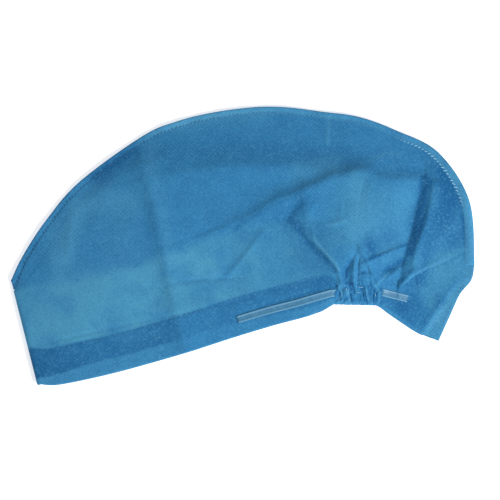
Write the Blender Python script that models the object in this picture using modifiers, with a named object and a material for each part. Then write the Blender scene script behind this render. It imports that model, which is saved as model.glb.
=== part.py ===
"""A disposable scrub cap of thin blue cloth, lying on its side as it comes out of the box.

X runs along the hem from the forehead to the nape, Y towards the crown and Z up. The origin is
the middle of the underside. Lengths are metres.

The cap is one sheet, folded at the forehead, so the lower panel lies on the table and the upper
panel lies over it. A flat welded seam joins the two over the crown and down the back to the
nape tip. The hem is turned up inside, and a tape of clear elastic gathers it at the nape.
"""

import math
from collections import namedtuple

import bpy
from mathutils import Vector

# Overall sizes
LENGTH = 0.2975
HEIGHT = 0.140
LOFT = 0.0125

# Cloth and clearances
CLOTH = 0.001
GAP = 0.0003

# Forehead fold, whose bend is loose at the hem and closes towards the crown seam
FOLD_RADIUS = 0.003
FOLD_RADIUS_TOP = 0.0014
FOLD_END = math.radians(78)

# Crown and back seam
SEAM_WIDTH = 0.0043
SEAM_THICKNESS = 0.0023
SEAM_GAPE = 0.0013
BACK_GAPE = 0.0052
RIM_LIFT = 0.001

# Turned-up hem and sweatband
HEM_TURN_UP = 0.024
HEM_BEND = 0.0008
BAND_TOP = 0.064
BAND_GAP = 0.0005
FAR_HEM_RISE = 0.009

# Elastic tape and its gathers
TAPE_WIDTH = 0.005
TAPE_THICKNESS = 0.0007
TAPE_CLEARANCE = 0.0004
PUCKERS = 5
PUCKER_RISE = 0.0007
PUCKER_FADE = 0.030

# How far in from each edge the upper panel takes to rise to its full loft
FRONT_REACH = 0.060
CROWN_REACH = 0.060
BACK_REACH = 0.042
RIM_REACH = 0.025

# Each row is one line of the cloth from the hem to the outline of the crown. Places along are
# shares of LENGTH and places up are shares of HEIGHT. The flange is a share of SEAM_WIDTH, the
# far rise of FAR_HEM_RISE, and the lift is where the lower panel makes room for its elastic.
Station = namedtuple(
    "Station", "name hem_along hem_up crown_along crown_up flange far_rise lift near far"
)
STATIONS = (
    Station("forehead_fold", 0.000, 0.000, 0.003, 0.493, 1.00, 0.00, 0, 2, 1),
    Station("corner", 0.040, -0.021, 0.040, 0.586, 1.00, 0.35, 0, 2, 1),
    Station("brow", 0.111, -0.032, 0.111, 0.721, 1.00, 0.55, 0, 2, 1),
    Station("temple", 0.202, -0.036, 0.202, 0.850, 1.00, 0.75, 0, 3, 2),
    Station("side_crease", 0.331, -0.031, 0.356, 0.975, 1.00, 0.90, 0, 3, 2),
    Station("crown_top", 0.424, -0.021, 0.437, 1.000, 1.00, 1.00, 1, 2, 2),
    Station("behind_top", 0.521, -0.014, 0.518, 0.996, 1.00, 1.00, 1, 2, 2),
    Station("over_ear", 0.605, -0.014, 0.605, 0.971, 1.00, 1.00, 1, 2, 2),
    Station("gather_start", 0.666, 0.000, 0.672, 0.932, 1.00, 1.00, 1, 10, 1),
    Station("gather_front", 0.699, -0.018, 0.743, 0.871, 1.02, 0.95, 1, 10, 1),
    Station("gather_back", 0.733, -0.036, 0.817, 0.804, 1.04, 0.85, 1, 10, 1),
    Station("gather_end", 0.770, -0.093, 0.887, 0.700, 1.06, 0.75, 1, 4, 2),
    Station("nape", 0.790, -0.146, 0.963, 0.552, 1.12, 0.50, 1, 3, 2),
    Station("nape_low", 0.807, -0.189, 1.000, 0.303, 1.25, 0.25, 0, 3, 2),
    Station("back_seam", 0.822, -0.221, 0.975, 0.014, 1.50, 0.00, 0, 0, 0),
)
LAST = len(STATIONS) - 1
GATHER_START = 8
GATHER_END = 11

# Outer edge of the seam from the last station down to the nape tip, in the same shares
BACK_EDGE = ((0.975, 0.014), (0.960, -0.050), (0.928, -0.100), (0.897, -0.179), (0.858, -0.279))

# Folds of the upper panel: from and to, half width as a share of LENGTH, rise as a share of LOFT
Fold = namedtuple("Fold", "name along_0 up_0 along_1 up_1 half_width rise")
FOLDS = (
    Fold("fan_bulge", 0.720, 0.160, 0.824, 0.400, 0.105, 0.62),
    Fold("fan_top_ridge", 0.746, 0.564, 0.919, 0.436, 0.026, 0.22),
    Fold("valley_above_fan", 0.354, 0.936, 0.860, 0.560, 0.034, -0.14),
    Fold("diagonal_valley", 0.490, 0.440, 0.746, 0.575, 0.026, -0.24),
    Fold("back_valley", 0.928, 0.462, 0.800, 0.021, 0.026, -0.34),
    Fold("front_spoke", 0.632, 0.390, 0.686, 0.164, 0.020, 0.20),
    Fold("middle_spoke", 0.740, 0.210, 0.718, 0.050, 0.016, 0.26),
    Fold("nape_spoke", 0.955, 0.090, 0.810, 0.010, 0.022, 0.20),
    Fold("side_crease", 0.356, 0.950, 0.331, -0.031, 0.020, 0.13),
)

# Middle line of the elastic: place in the station table, and height above the hem
Run = namedtuple("Run", "station height")
ELASTIC = (
    Run(5.35, 0.0125),
    Run(8.00, 0.0082),
    Run(9.50, 0.0078),
    Run(11.00, 0.0120),
    Run(12.16, 0.0150),
)
ELASTIC_STEPS = 44
FAR_ELASTIC_STEPS = 22

# Sweatband: last station that it reaches on both sides
BAND_END = 12.0

# Rows of the sheet between the hem, the band's top and the crown
BEND_STEPS = 4
TURN_UP_STEPS = 3
BAND_STEPS = 4
CROWN_STEPS = 5
FOLD_STEPS = 6

# Colours and finish of each material: base colour, roughness
MATERIALS = {
    "cloth_blue": ((0.045, 0.200, 0.420, 1.0), 0.85),
    "seam_blue": ((0.060, 0.240, 0.460, 1.0), 0.75),
    "band_pale_blue": ((0.090, 0.320, 0.480, 1.0), 0.80),
    "elastic_clear": ((0.330, 0.470, 0.560, 1.0), 0.45),
}


def clamp(value):
    return min(1.0, max(0.0, value))


def ease(value):
    """Zero to one with level ends."""
    value = clamp(value)
    return value * value * (3 - 2 * value)


def ramp(distance, reach):
    """Zero at an edge to one at reach in from it, steepest at the edge, as stretched cloth rises."""
    return 1 - (1 - clamp(distance / reach)) ** 2


def through(values, place):
    """Smooth curve through values at whole numbers, read at place."""
    first = min(max(int(math.floor(place)), 0), len(values) - 2)
    part = place - first
    before = values[max(first - 1, 0)]
    start = values[first]
    end = values[first + 1]
    after = values[min(first + 2, len(values) - 1)]
    slope_0 = (end - before) * 0.5
    slope_1 = (after - start) * 0.5
    square = part * part
    cube = square * part
    return (
        start * (2 * cube - 3 * square + 1)
        + slope_0 * (cube - 2 * square + part)
        + end * (3 * square - 2 * cube)
        + slope_1 * (cube - square)
    )


def straight(values, place):
    """Straight runs through values at whole numbers, read at place."""
    first = min(max(int(math.floor(place)), 0), len(values) - 2)
    part = place - first
    return values[first] * (1 - part) + values[first + 1] * part


def flat(along, up):
    """A place on the table from shares of the two overall sizes."""
    return Vector((along * LENGTH, up * HEIGHT))


HEM = [flat(s.hem_along, s.hem_up) for s in STATIONS]
OUTLINE = [flat(s.crown_along, s.crown_up) for s in STATIONS]
FLANGE = [s.flange * SEAM_WIDTH for s in STATIONS]
FAR_RISE = [s.far_rise * FAR_HEM_RISE for s in STATIONS]
LIFT = [float(s.lift) for s in STATIONS]


def outline_inward(place):
    """Unit direction from the outline into the cap."""
    step = 0.02
    run = through(OUTLINE, min(place + step, LAST)) - through(OUTLINE, max(place - step, 0))
    return Vector((run.y, -run.x)).normalized()


def crown_edge(place):
    """Edge of the sheet along the crown, set in from the outline by the seam's flange."""
    inward = outline_inward(place)
    inset = through(FLANGE, place) + GAP
    at_fold = clamp(1 - place)
    direction = inward * (1 - at_fold) + Vector((0, 1 / inward.y)) * at_fold
    return through(OUTLINE, place) + direction * inset


def hem_edge(place, far):
    edge = through(HEM, place).copy()
    if far:
        edge.y += through(FAR_RISE, place)
    return edge


def run_of_cloth(place, far):
    """Hem point, crown point and length of one line of the cloth."""
    low = hem_edge(place, far)
    high = crown_edge(place)
    return low, high, (high - low).length


BACK_LOW, BACK_HIGH, BACK_LENGTH = run_of_cloth(LAST, False)
BACK_INWARD = Vector((BACK_LOW.y - BACK_HIGH.y, BACK_HIGH.x - BACK_LOW.x)).normalized()


def back_distance(point):
    """Distance from the back seam into the cap."""
    return max(0.0, (point - BACK_LOW).dot(BACK_INWARD))


def fold_radius(share):
    """Bend of the forehead fold at a share of its length above the hem."""
    return FOLD_RADIUS + (FOLD_RADIUS_TOP - FOLD_RADIUS) * clamp(share) ** 6


def rim_lift(point, length, height):
    """Rise of the lower panel's edge to meet the seam."""
    edge = min(length - height, back_distance(point))
    return RIM_LIFT * (1 - ramp(edge, RIM_REACH))


def ridge(fold, point):
    """Height of one fold at a place, falling off across it and past its ends."""
    start = flat(fold.along_0, fold.up_0)
    run = flat(fold.along_1, fold.up_1) - start
    share = clamp((point - start).dot(run) / run.length_squared)
    away = (point - start - run * share).length / (fold.half_width * LENGTH)
    return fold.rise * LOFT * math.exp(-away * away)


def pucker(place, height):
    """Small gathers beside the elastic, fading up the panel."""
    share = (place - GATHER_START) / (GATHER_END - GATHER_START)
    if not 0 < share < 1:
        return 0.0
    ends = ease(share * PUCKERS) * ease((1 - share) * PUCKERS)
    return PUCKER_RISE * ends * math.sin(2 * math.pi * PUCKERS * share) * clamp(1 - height / PUCKER_FADE)


def lower_panel(place, height):
    low, high, length = run_of_cloth(place, True)
    point = low + (high - low) * (height / length)
    radius = fold_radius(height / length)
    room = (TAPE_THICKNESS + GAP + TAPE_CLEARANCE) * straight(LIFT, place)
    z = CLOTH / 2 + rim_lift(point, length, height) + room * (1 - ease((height - HEM_TURN_UP) / 0.014))
    return Vector((point.x + radius * clamp(1 - place), point.y, z))


def forehead_fold(angle, height):
    low, high, length = run_of_cloth(0.0, False)
    point = low + (high - low) * (height / length)
    radius = fold_radius(height / length)
    z = CLOTH / 2 + rim_lift(point, length, height) + radius
    return Vector((point.x + radius * (1 - math.cos(angle)), point.y, z + radius * math.sin(angle)))


def upper_panel(place, height, gathered):
    low, high, length = run_of_cloth(place, False)
    share = height / length
    point = low + (high - low) * share
    radius = fold_radius(share)
    front = ramp(point.x, FRONT_REACH)
    crown = ramp(length - height, CROWN_REACH)
    back = ramp(back_distance(point), BACK_REACH)
    fold_gape = radius * (1 + math.sin(FOLD_END))
    back_gape = SEAM_GAPE + (BACK_GAPE - SEAM_GAPE) * (1 - clamp(share) ** 3)
    gape = SEAM_GAPE + (fold_gape - SEAM_GAPE) * (1 - front) + (back_gape - SEAM_GAPE) * (1 - back)
    loft = LOFT + sum(ridge(fold, point) for fold in FOLDS)
    z = CLOTH / 2 + rim_lift(point, length, height) + gape + loft * front * crown * back
    if gathered:
        z += pucker(place, height)
    shift = radius * (1 - math.cos(FOLD_END)) * clamp(1 - place)
    return Vector((point.x + shift, point.y, z))


# One column of the sheet: its side, and its place in the station table or its angle in the fold
Column = namedtuple("Column", "side place")


def columns():
    """Columns from the back seam of the lower panel, round the forehead, to that of the upper."""
    near = []
    far = []
    for index, station in enumerate(STATIONS[:-1]):
        near += [index + step / station.near for step in range(station.near)]
        far += [index + step / station.far for step in range(station.far)]
    turn = math.pi / 2 + FOLD_END
    inner = [turn * step / FOLD_STEPS - math.pi / 2 for step in range(1, FOLD_STEPS)]
    lower = [Column("lower", place) for place in reversed(far + [LAST])]
    fold = [Column("fold", angle) for angle in inner]
    upper = [Column("upper", place) for place in near + [LAST]]
    return lower + fold + upper


COLUMNS = columns()


def surface(column, height, gathered=False):
    """Middle of the cloth's thickness."""
    if column.side == "lower":
        return lower_panel(column.place, height)
    if column.side == "fold":
        return forehead_fold(column.place, height)
    return upper_panel(column.place, height, gathered)


def inward(line, index, height):
    """Unit direction into the cap, from the cloth's smooth form without its gathers."""
    step = 0.0005
    across = surface(line[min(index + 1, len(line) - 1)], height) - surface(line[max(index - 1, 0)], height)
    upward = surface(line[index], height + step) - surface(line[index], height - step)
    return upward.cross(across).normalized()


def column_length(column):
    if column.side == "fold":
        return run_of_cloth(0.0, False)[2]
    return run_of_cloth(column.place, column.side == "lower")[2]


def band_top(column):
    return min(BAND_TOP, 0.88 * column_length(column))


def band_heights(column):
    """Heights of the sheet's rows behind the sweatband, from the hem's turn-up to the band's top."""
    top = band_top(column)
    return [HEM_TURN_UP + (top - HEM_TURN_UP) * step / BAND_STEPS for step in range(1, BAND_STEPS + 1)]


def sheet_rows(column):
    """Height above the hem and depth into the cap of each row, from the turn-up's edge to the crown."""
    turn_up = [
        HEM_BEND + (HEM_TURN_UP - HEM_BEND) * step / TURN_UP_STEPS for step in range(TURN_UP_STEPS + 1)
    ]
    rows = [(height, 2 * HEM_BEND) for height in reversed(turn_up)]
    for step in range(BEND_STEPS - 1, 0, -1):
        angle = math.pi * step / BEND_STEPS
        rows.append((HEM_BEND * (1 - math.sin(angle)), HEM_BEND * (1 - math.cos(angle))))
    rows += [(height, 0.0) for height in turn_up]
    rows += [(height, 0.0) for height in band_heights(column)]
    top = band_top(column)
    rest = column_length(column) - top
    rows += [(top + rest * step / CROWN_STEPS, 0.0) for step in range(1, CROWN_STEPS + 1)]
    return rows


def middle_of_box():
    """Middle of the cap's outline, which becomes the origin."""
    steps = 20
    places = [step / steps for step in range(LAST * steps + 1)]
    points = [through(OUTLINE, place) for place in places]
    points += [through(HEM, place) for place in places]
    points += [flat(along, up) for along, up in BACK_EDGE]
    xs = [point.x for point in points]
    ys = [point.y for point in points]
    return Vector(((min(xs) + max(xs)) / 2, (min(ys) + max(ys)) / 2, 0))


MIDDLE = middle_of_box()


def material(name):
    made = bpy.data.materials.get(name)
    if made:
        return made
    colour, roughness = MATERIALS[name]
    made = bpy.data.materials.new(name)
    made.use_nodes = True
    shader = made.node_tree.nodes["Principled BSDF"]
    shader.inputs["Base Color"].default_value = colour
    shader.inputs["Roughness"].default_value = roughness
    made.diffuse_color = colour
    return made


def sheet(name, lines, thickness, finish):
    """A grid of points, given as lines of equal length, made a wall of even thickness."""
    across = len(lines)
    along = len(lines[0])
    bpy.ops.mesh.primitive_grid_add(x_subdivisions=across - 1, y_subdivisions=along - 1, size=1)
    made = bpy.context.object
    made.name = name
    made.data.name = name
    for index, vertex in enumerate(made.data.vertices):
        vertex.co = lines[index % across][index // across] - MIDDLE
    wall = made.modifiers.new("wall", "SOLIDIFY")
    wall.thickness = thickness
    wall.offset = 0
    made.data.materials.append(material(finish))
    made.data.shade_smooth()
    for collection in made.users_collection:
        collection.objects.unlink(made)
    CAP.objects.link(made)
    return made


def cap_sheet():
    lines = []
    for index, column in enumerate(COLUMNS):
        line = []
        for height, depth in sheet_rows(column):
            point = surface(column, height, gathered=True)
            line.append(point + inward(COLUMNS, index, height) * depth)
        lines.append(line)
    return sheet("cap_sheet", lines, CLOTH, "cloth_blue")


def sweatband():
    """Lining inside the sheet, on the same rows and columns, one wall and a clearance further in."""
    lines = []
    for index, column in enumerate(COLUMNS):
        if column.side != "fold" and column.place > BAND_END:
            continue
        line = []
        for height in [HEM_TURN_UP + BAND_GAP] + band_heights(column):
            point = surface(column, height, gathered=True)
            line.append(point + inward(COLUMNS, index, height) * (CLOTH + GAP))
        lines.append(line)
    return sheet("sweatband", lines, CLOTH, "band_pale_blue")


def seam_height(place, height):
    """Middle of the seam, between the edges of the two panels."""
    return (upper_panel(place, height, False).z + lower_panel(place, height).z) / 2


def crown_seam():
    """Flat flange from the forehead over the crown, and down the back to the nape tip."""
    inner = []
    outer = []
    for column in COLUMNS:
        if column.side != "upper":
            continue
        place = column.place
        edge = crown_edge(place)
        z = seam_height(place, column_length(column))
        inner.append((edge - outline_inward(place) * GAP).to_3d() + Vector((0, 0, z)))
        outer.append(through(OUTLINE, place).to_3d() + Vector((0, 0, z)))
    back = [flat(along, up) for along, up in BACK_EDGE]
    steps = 3 * (len(back) - 1)
    for step in range(1, steps + 1):
        share = step / steps
        height = BACK_LENGTH * (1 - share)
        edge = BACK_HIGH + (BACK_LOW - BACK_HIGH) * share - BACK_INWARD * GAP
        z = seam_height(LAST, height)
        inner.append(edge.to_3d() + Vector((0, 0, z)))
        outer.append(through(back, share * (len(back) - 1)).to_3d() + Vector((0, 0, z)))
    return sheet("crown_seam", [inner, outer], SEAM_THICKNESS, "seam_blue")


def elastic(name, side, steps, crests):
    """Flat tape on the outside of one panel, on the crests of its gathers."""
    runs = [run.station for run in ELASTIC]
    heights = [run.height for run in ELASTIC]
    parts = [(len(ELASTIC) - 1) * step / steps for step in range(steps + 1)]
    if side == "lower":
        parts.reverse()
    line = [Column(side, straight(runs, part)) for part in parts]
    edges = ([], [])
    for index, (column, part) in enumerate(zip(line, parts)):
        gathered = ease((column.place - GATHER_START) * 3 + 1) * ease((GATHER_END - column.place) * 3 + 1)
        lift = (CLOTH + TAPE_THICKNESS) / 2 + TAPE_CLEARANCE + crests * gathered
        for edge, offset in zip(edges, (-TAPE_WIDTH / 2, TAPE_WIDTH / 2)):
            height = through(heights, part) + offset
            edge.append(surface(column, height) - inward(line, index, height) * lift)
    return sheet(name, list(edges), TAPE_THICKNESS, "elastic_clear")


def clear_scene():
    for thing in list(bpy.data.objects):
        bpy.data.objects.remove(thing, do_unlink=True)


clear_scene()
CAP = bpy.data.collections.new("scrub_cap")
bpy.context.scene.collection.children.link(CAP)

cap_sheet()
sweatband()
crown_seam()
elastic("near_elastic", "upper", ELASTIC_STEPS, PUCKER_RISE)
elastic("far_elastic", "lower", FAR_ELASTIC_STEPS, 0.0)
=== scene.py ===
# %% [markdown]
# # A disposable scrub cap
#
# The cap is a bag of thin blue non-woven cloth. It lies on its side on a white table, with the
# forehead to the left and the nape to the right. This lesson makes its cloth as one long grid
# that is wrapped into shape with formulas, then adds the seam, the sweatband and the elastic.
# Cloth simulation could also make such folds, but they would fall where they like. Here each
# fold is listed, so the cap creases where the real one does.

# %% Load the frame
import math

import bpy
import numpy as np
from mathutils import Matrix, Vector, noise


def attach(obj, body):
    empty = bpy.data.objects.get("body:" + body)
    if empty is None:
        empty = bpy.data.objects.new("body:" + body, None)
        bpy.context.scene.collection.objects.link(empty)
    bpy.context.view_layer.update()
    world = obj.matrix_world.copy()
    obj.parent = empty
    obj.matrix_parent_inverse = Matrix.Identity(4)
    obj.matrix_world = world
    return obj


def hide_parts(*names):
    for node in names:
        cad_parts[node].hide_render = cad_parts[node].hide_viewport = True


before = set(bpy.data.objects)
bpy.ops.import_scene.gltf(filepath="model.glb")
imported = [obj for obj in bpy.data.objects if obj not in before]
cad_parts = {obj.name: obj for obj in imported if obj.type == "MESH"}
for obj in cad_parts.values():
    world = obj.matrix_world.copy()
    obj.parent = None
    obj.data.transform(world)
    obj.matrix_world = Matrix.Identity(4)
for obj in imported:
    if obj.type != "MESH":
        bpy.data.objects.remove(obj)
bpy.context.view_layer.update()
bpy.ops.object.select_all(action="DESELECT")

# %% [markdown]
# ## Sizes
#
# These are the cap's own sizes in metres. The outline, the hem and the band are those of its
# CAD model, apart from two sharp corners at the gather. The cloth is drawn thinner than its CAD
# wall, because a real non-woven sheet is only a third of a millimetre thick. The cap is drawn
# flatter too, because the shadows in the photograph are soft. Each REACH is how far from an
# edge the upper panel takes to rise.

# %% Sizes of the cap
MM = 0.001
LENGTH = 0.2975
HEIGHT = 0.140
LOFT = 0.0105
CLOTH = 0.0005
GAP = 0.0003
FOLD_RADIUS = 0.003
FOLD_RADIUS_TOP = 0.0014
FOLD_END = math.radians(78)
SEAM_WIDTH = 0.0043
SEAM_GAPE = 0.0013
BACK_GAPE = 0.0038
FLANGE_HALF = 0.0004
RIM_LIFT = 0.001
HEM_TURN_UP = 0.024
HEM_BEND = 0.0008
BAND_TOP = 0.064
FAR_HEM_RISE = 0.009
TAPE_ROOM = 0.0014
FRONT_REACH = 0.090
CROWN_REACH = 0.075
BACK_REACH = 0.080
RIM_REACH = 0.025
BACK_START = 0.06
TAPE_ROOM_FADE = 0.014

# %% [markdown]
# ## Lines of the cloth
#
# Each row of this table is one line of the cloth, from a point on the hem to a point on the
# outline of the crown. Places along are shares of the cap's length, and places up are shares of
# its height. Near the nape the lines start close together and fan out, because the elastic
# bunches the hem there.

# %% Station table
STATIONS = (
    # name, hem along, hem up, crown along, crown up, flange, far rise, lift, columns near, far
    ("forehead_fold", 0.000, 0.000, 0.003, 0.493, 1.00, 0.00, 0, 8, 3),
    ("corner", 0.040, -0.021, 0.040, 0.586, 1.00, 0.35, 0, 10, 3),
    ("brow", 0.111, -0.032, 0.111, 0.721, 1.00, 0.55, 0, 14, 4),
    ("temple", 0.202, -0.036, 0.202, 0.850, 1.00, 0.75, 0, 24, 4),
    ("side_crease", 0.331, -0.031, 0.356, 0.975, 1.00, 0.90, 0, 16, 4),
    ("crown_top", 0.424, -0.021, 0.437, 1.000, 1.00, 1.00, 1, 16, 3),
    ("behind_top", 0.521, -0.014, 0.518, 0.996, 1.00, 1.00, 1, 16, 3),
    ("over_ear", 0.605, -0.014, 0.605, 0.971, 1.00, 1.00, 1, 20, 3),
    ("gather_start", 0.666, 0.000, 0.672, 0.932, 1.00, 1.00, 1, 32, 3),
    ("gather_front", 0.699, -0.018, 0.743, 0.871, 1.02, 0.95, 1, 32, 3),
    ("gather_back", 0.733, -0.036, 0.817, 0.804, 1.04, 0.85, 1, 32, 3),
    ("gather_end", 0.770, -0.093, 0.887, 0.700, 1.06, 0.75, 1, 18, 3),
    ("nape", 0.790, -0.146, 0.963, 0.552, 1.12, 0.50, 1, 26, 3),
    ("nape_low", 0.807, -0.189, 1.000, 0.303, 1.25, 0.25, 0, 16, 3),
    ("back_seam", 0.822, -0.221, 0.975, 0.014, 1.50, 0.00, 0, 8, 3),
)
BACK_EDGE = ((0.975, 0.014), (0.960, -0.050), (0.928, -0.100), (0.897, -0.179), (0.858, -0.279))
GATHER_EDGE = (
    # place, hem along, hem up, from over the ear to the back seam
    (7.0, 0.605, -0.0140),
    (7.5, 0.632, -0.0096),
    (8.0, 0.6595, 0.0067),
    (10.5, 0.750, -0.0500),
    (11.0, 0.770, -0.1025),
    (12.0, 0.790, -0.1520),
    (13.0, 0.807, -0.1940),
    (14.0, 0.822, -0.2260),
)
GATHER_START = 7.9
GATHER_END = 10.95
LAST = len(STATIONS) - 1
(
    names, hem_along, hem_up, crown_along, crown_up,
    flange_share, rise_share, lift_share, near_steps, far_steps,
) = zip(*STATIONS)
HEM = np.column_stack([hem_along, hem_up]) * (LENGTH, HEIGHT)
OUTLINE = np.column_stack([crown_along, crown_up]) * (LENGTH, HEIGHT)
FLANGE = np.array(flange_share) * SEAM_WIDTH
FAR_RISE = np.array(rise_share) * FAR_HEM_RISE
LIFT = np.array(lift_share, float)
BACK = np.array(BACK_EDGE) * (LENGTH, HEIGHT)
print("lines of the cloth:", ", ".join(names))

# %% [markdown]
# ## Smooth curves and soft steps
#
# A Catmull-Rom curve passes through every point that it is given, which makes it a good way to
# draw an outline from a few chosen points. The other helpers are soft steps. They work on whole
# NumPy arrays, so tens of thousands of points of cloth are shaped at once.

# %% Curve helpers


def through(values, place):
    """Smooth curve through values at whole numbers, read at each place."""
    values = np.asarray(values, float)
    place = np.asarray(place, float)
    last = len(values) - 1
    first = np.clip(np.floor(place).astype(int), 0, last - 1)
    part = np.clip(place - first, 0, 1)
    if values.ndim > 1:
        part = part[..., None]
    before = values[np.maximum(first - 1, 0)]
    start = values[first]
    end = values[first + 1]
    after = values[np.minimum(first + 2, last)]
    return (
        start * (2 * part**3 - 3 * part**2 + 1)
        + (end - before) * 0.5 * (part**3 - 2 * part**2 + part)
        + end * (3 * part**2 - 2 * part**3)
        + (after - start) * 0.5 * (part**3 - part**2)
    )


def ease(value):
    value = np.clip(value, 0, 1)
    return value * value * (3 - 2 * value)


def ramp(distance, reach):
    """Zero at an edge to one at reach in from it, steepest at the edge."""
    return 1 - (1 - np.clip(distance / reach, 0, 1)) ** 2


def mix(first, second, share):
    return first * (1 - share) + second * share


def run_length(path):
    """Distance along a path of points, at each of them."""
    return np.concatenate([[0], np.cumsum(np.linalg.norm(np.diff(path, axis=0), axis=-1))])


# %% [markdown]
# ## From the photograph to the table
#
# The photograph looks straight down, with the hem rising fifteen degrees to the right. One
# function turns a place in its 500 by 500 pixels into a place on the table, so a fold can be
# listed where it is seen. The scale comes from the usual size of such a cap.

# %% Places seen in the photograph
PIXEL = 0.64 * MM
HEM_TURN = math.radians(15)
FRONT_CORNER_PIXEL = (37, 385)


def seen(pixels):
    """Places along and up the cap for a list of photograph pixels."""
    pixels = np.asarray(pixels, float)
    right = (pixels[..., 0] - FRONT_CORNER_PIXEL[0]) * PIXEL
    up = (FRONT_CORNER_PIXEL[1] - pixels[..., 1]) * PIXEL
    along = right * math.cos(HEM_TURN) + up * math.sin(HEM_TURN)
    across = up * math.cos(HEM_TURN) - right * math.sin(HEM_TURN)
    return np.stack([along, across], axis=-1)


def middle_of_box():
    """Middle of the outline, which is the CAD model's origin."""
    places = np.arange(0, LAST + 0.01, 0.05)
    points = np.concatenate([through(OUTLINE, places), through(HEM, places), BACK])
    return (points.min(axis=0) + points.max(axis=0)) / 2


MIDDLE = middle_of_box()
print("middle of the cap in mm:", np.round(MIDDLE / MM, 1))

# %% [markdown]
# ## Folds of the upper panel
#
# A fold is a path with a rise, which is negative for a valley. Its two sides may have different
# widths: a crease that is steep on one side and gentle on the other looks like real cloth, and
# an even one looks like a wave. Left and right are seen while walking along the path.

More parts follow.
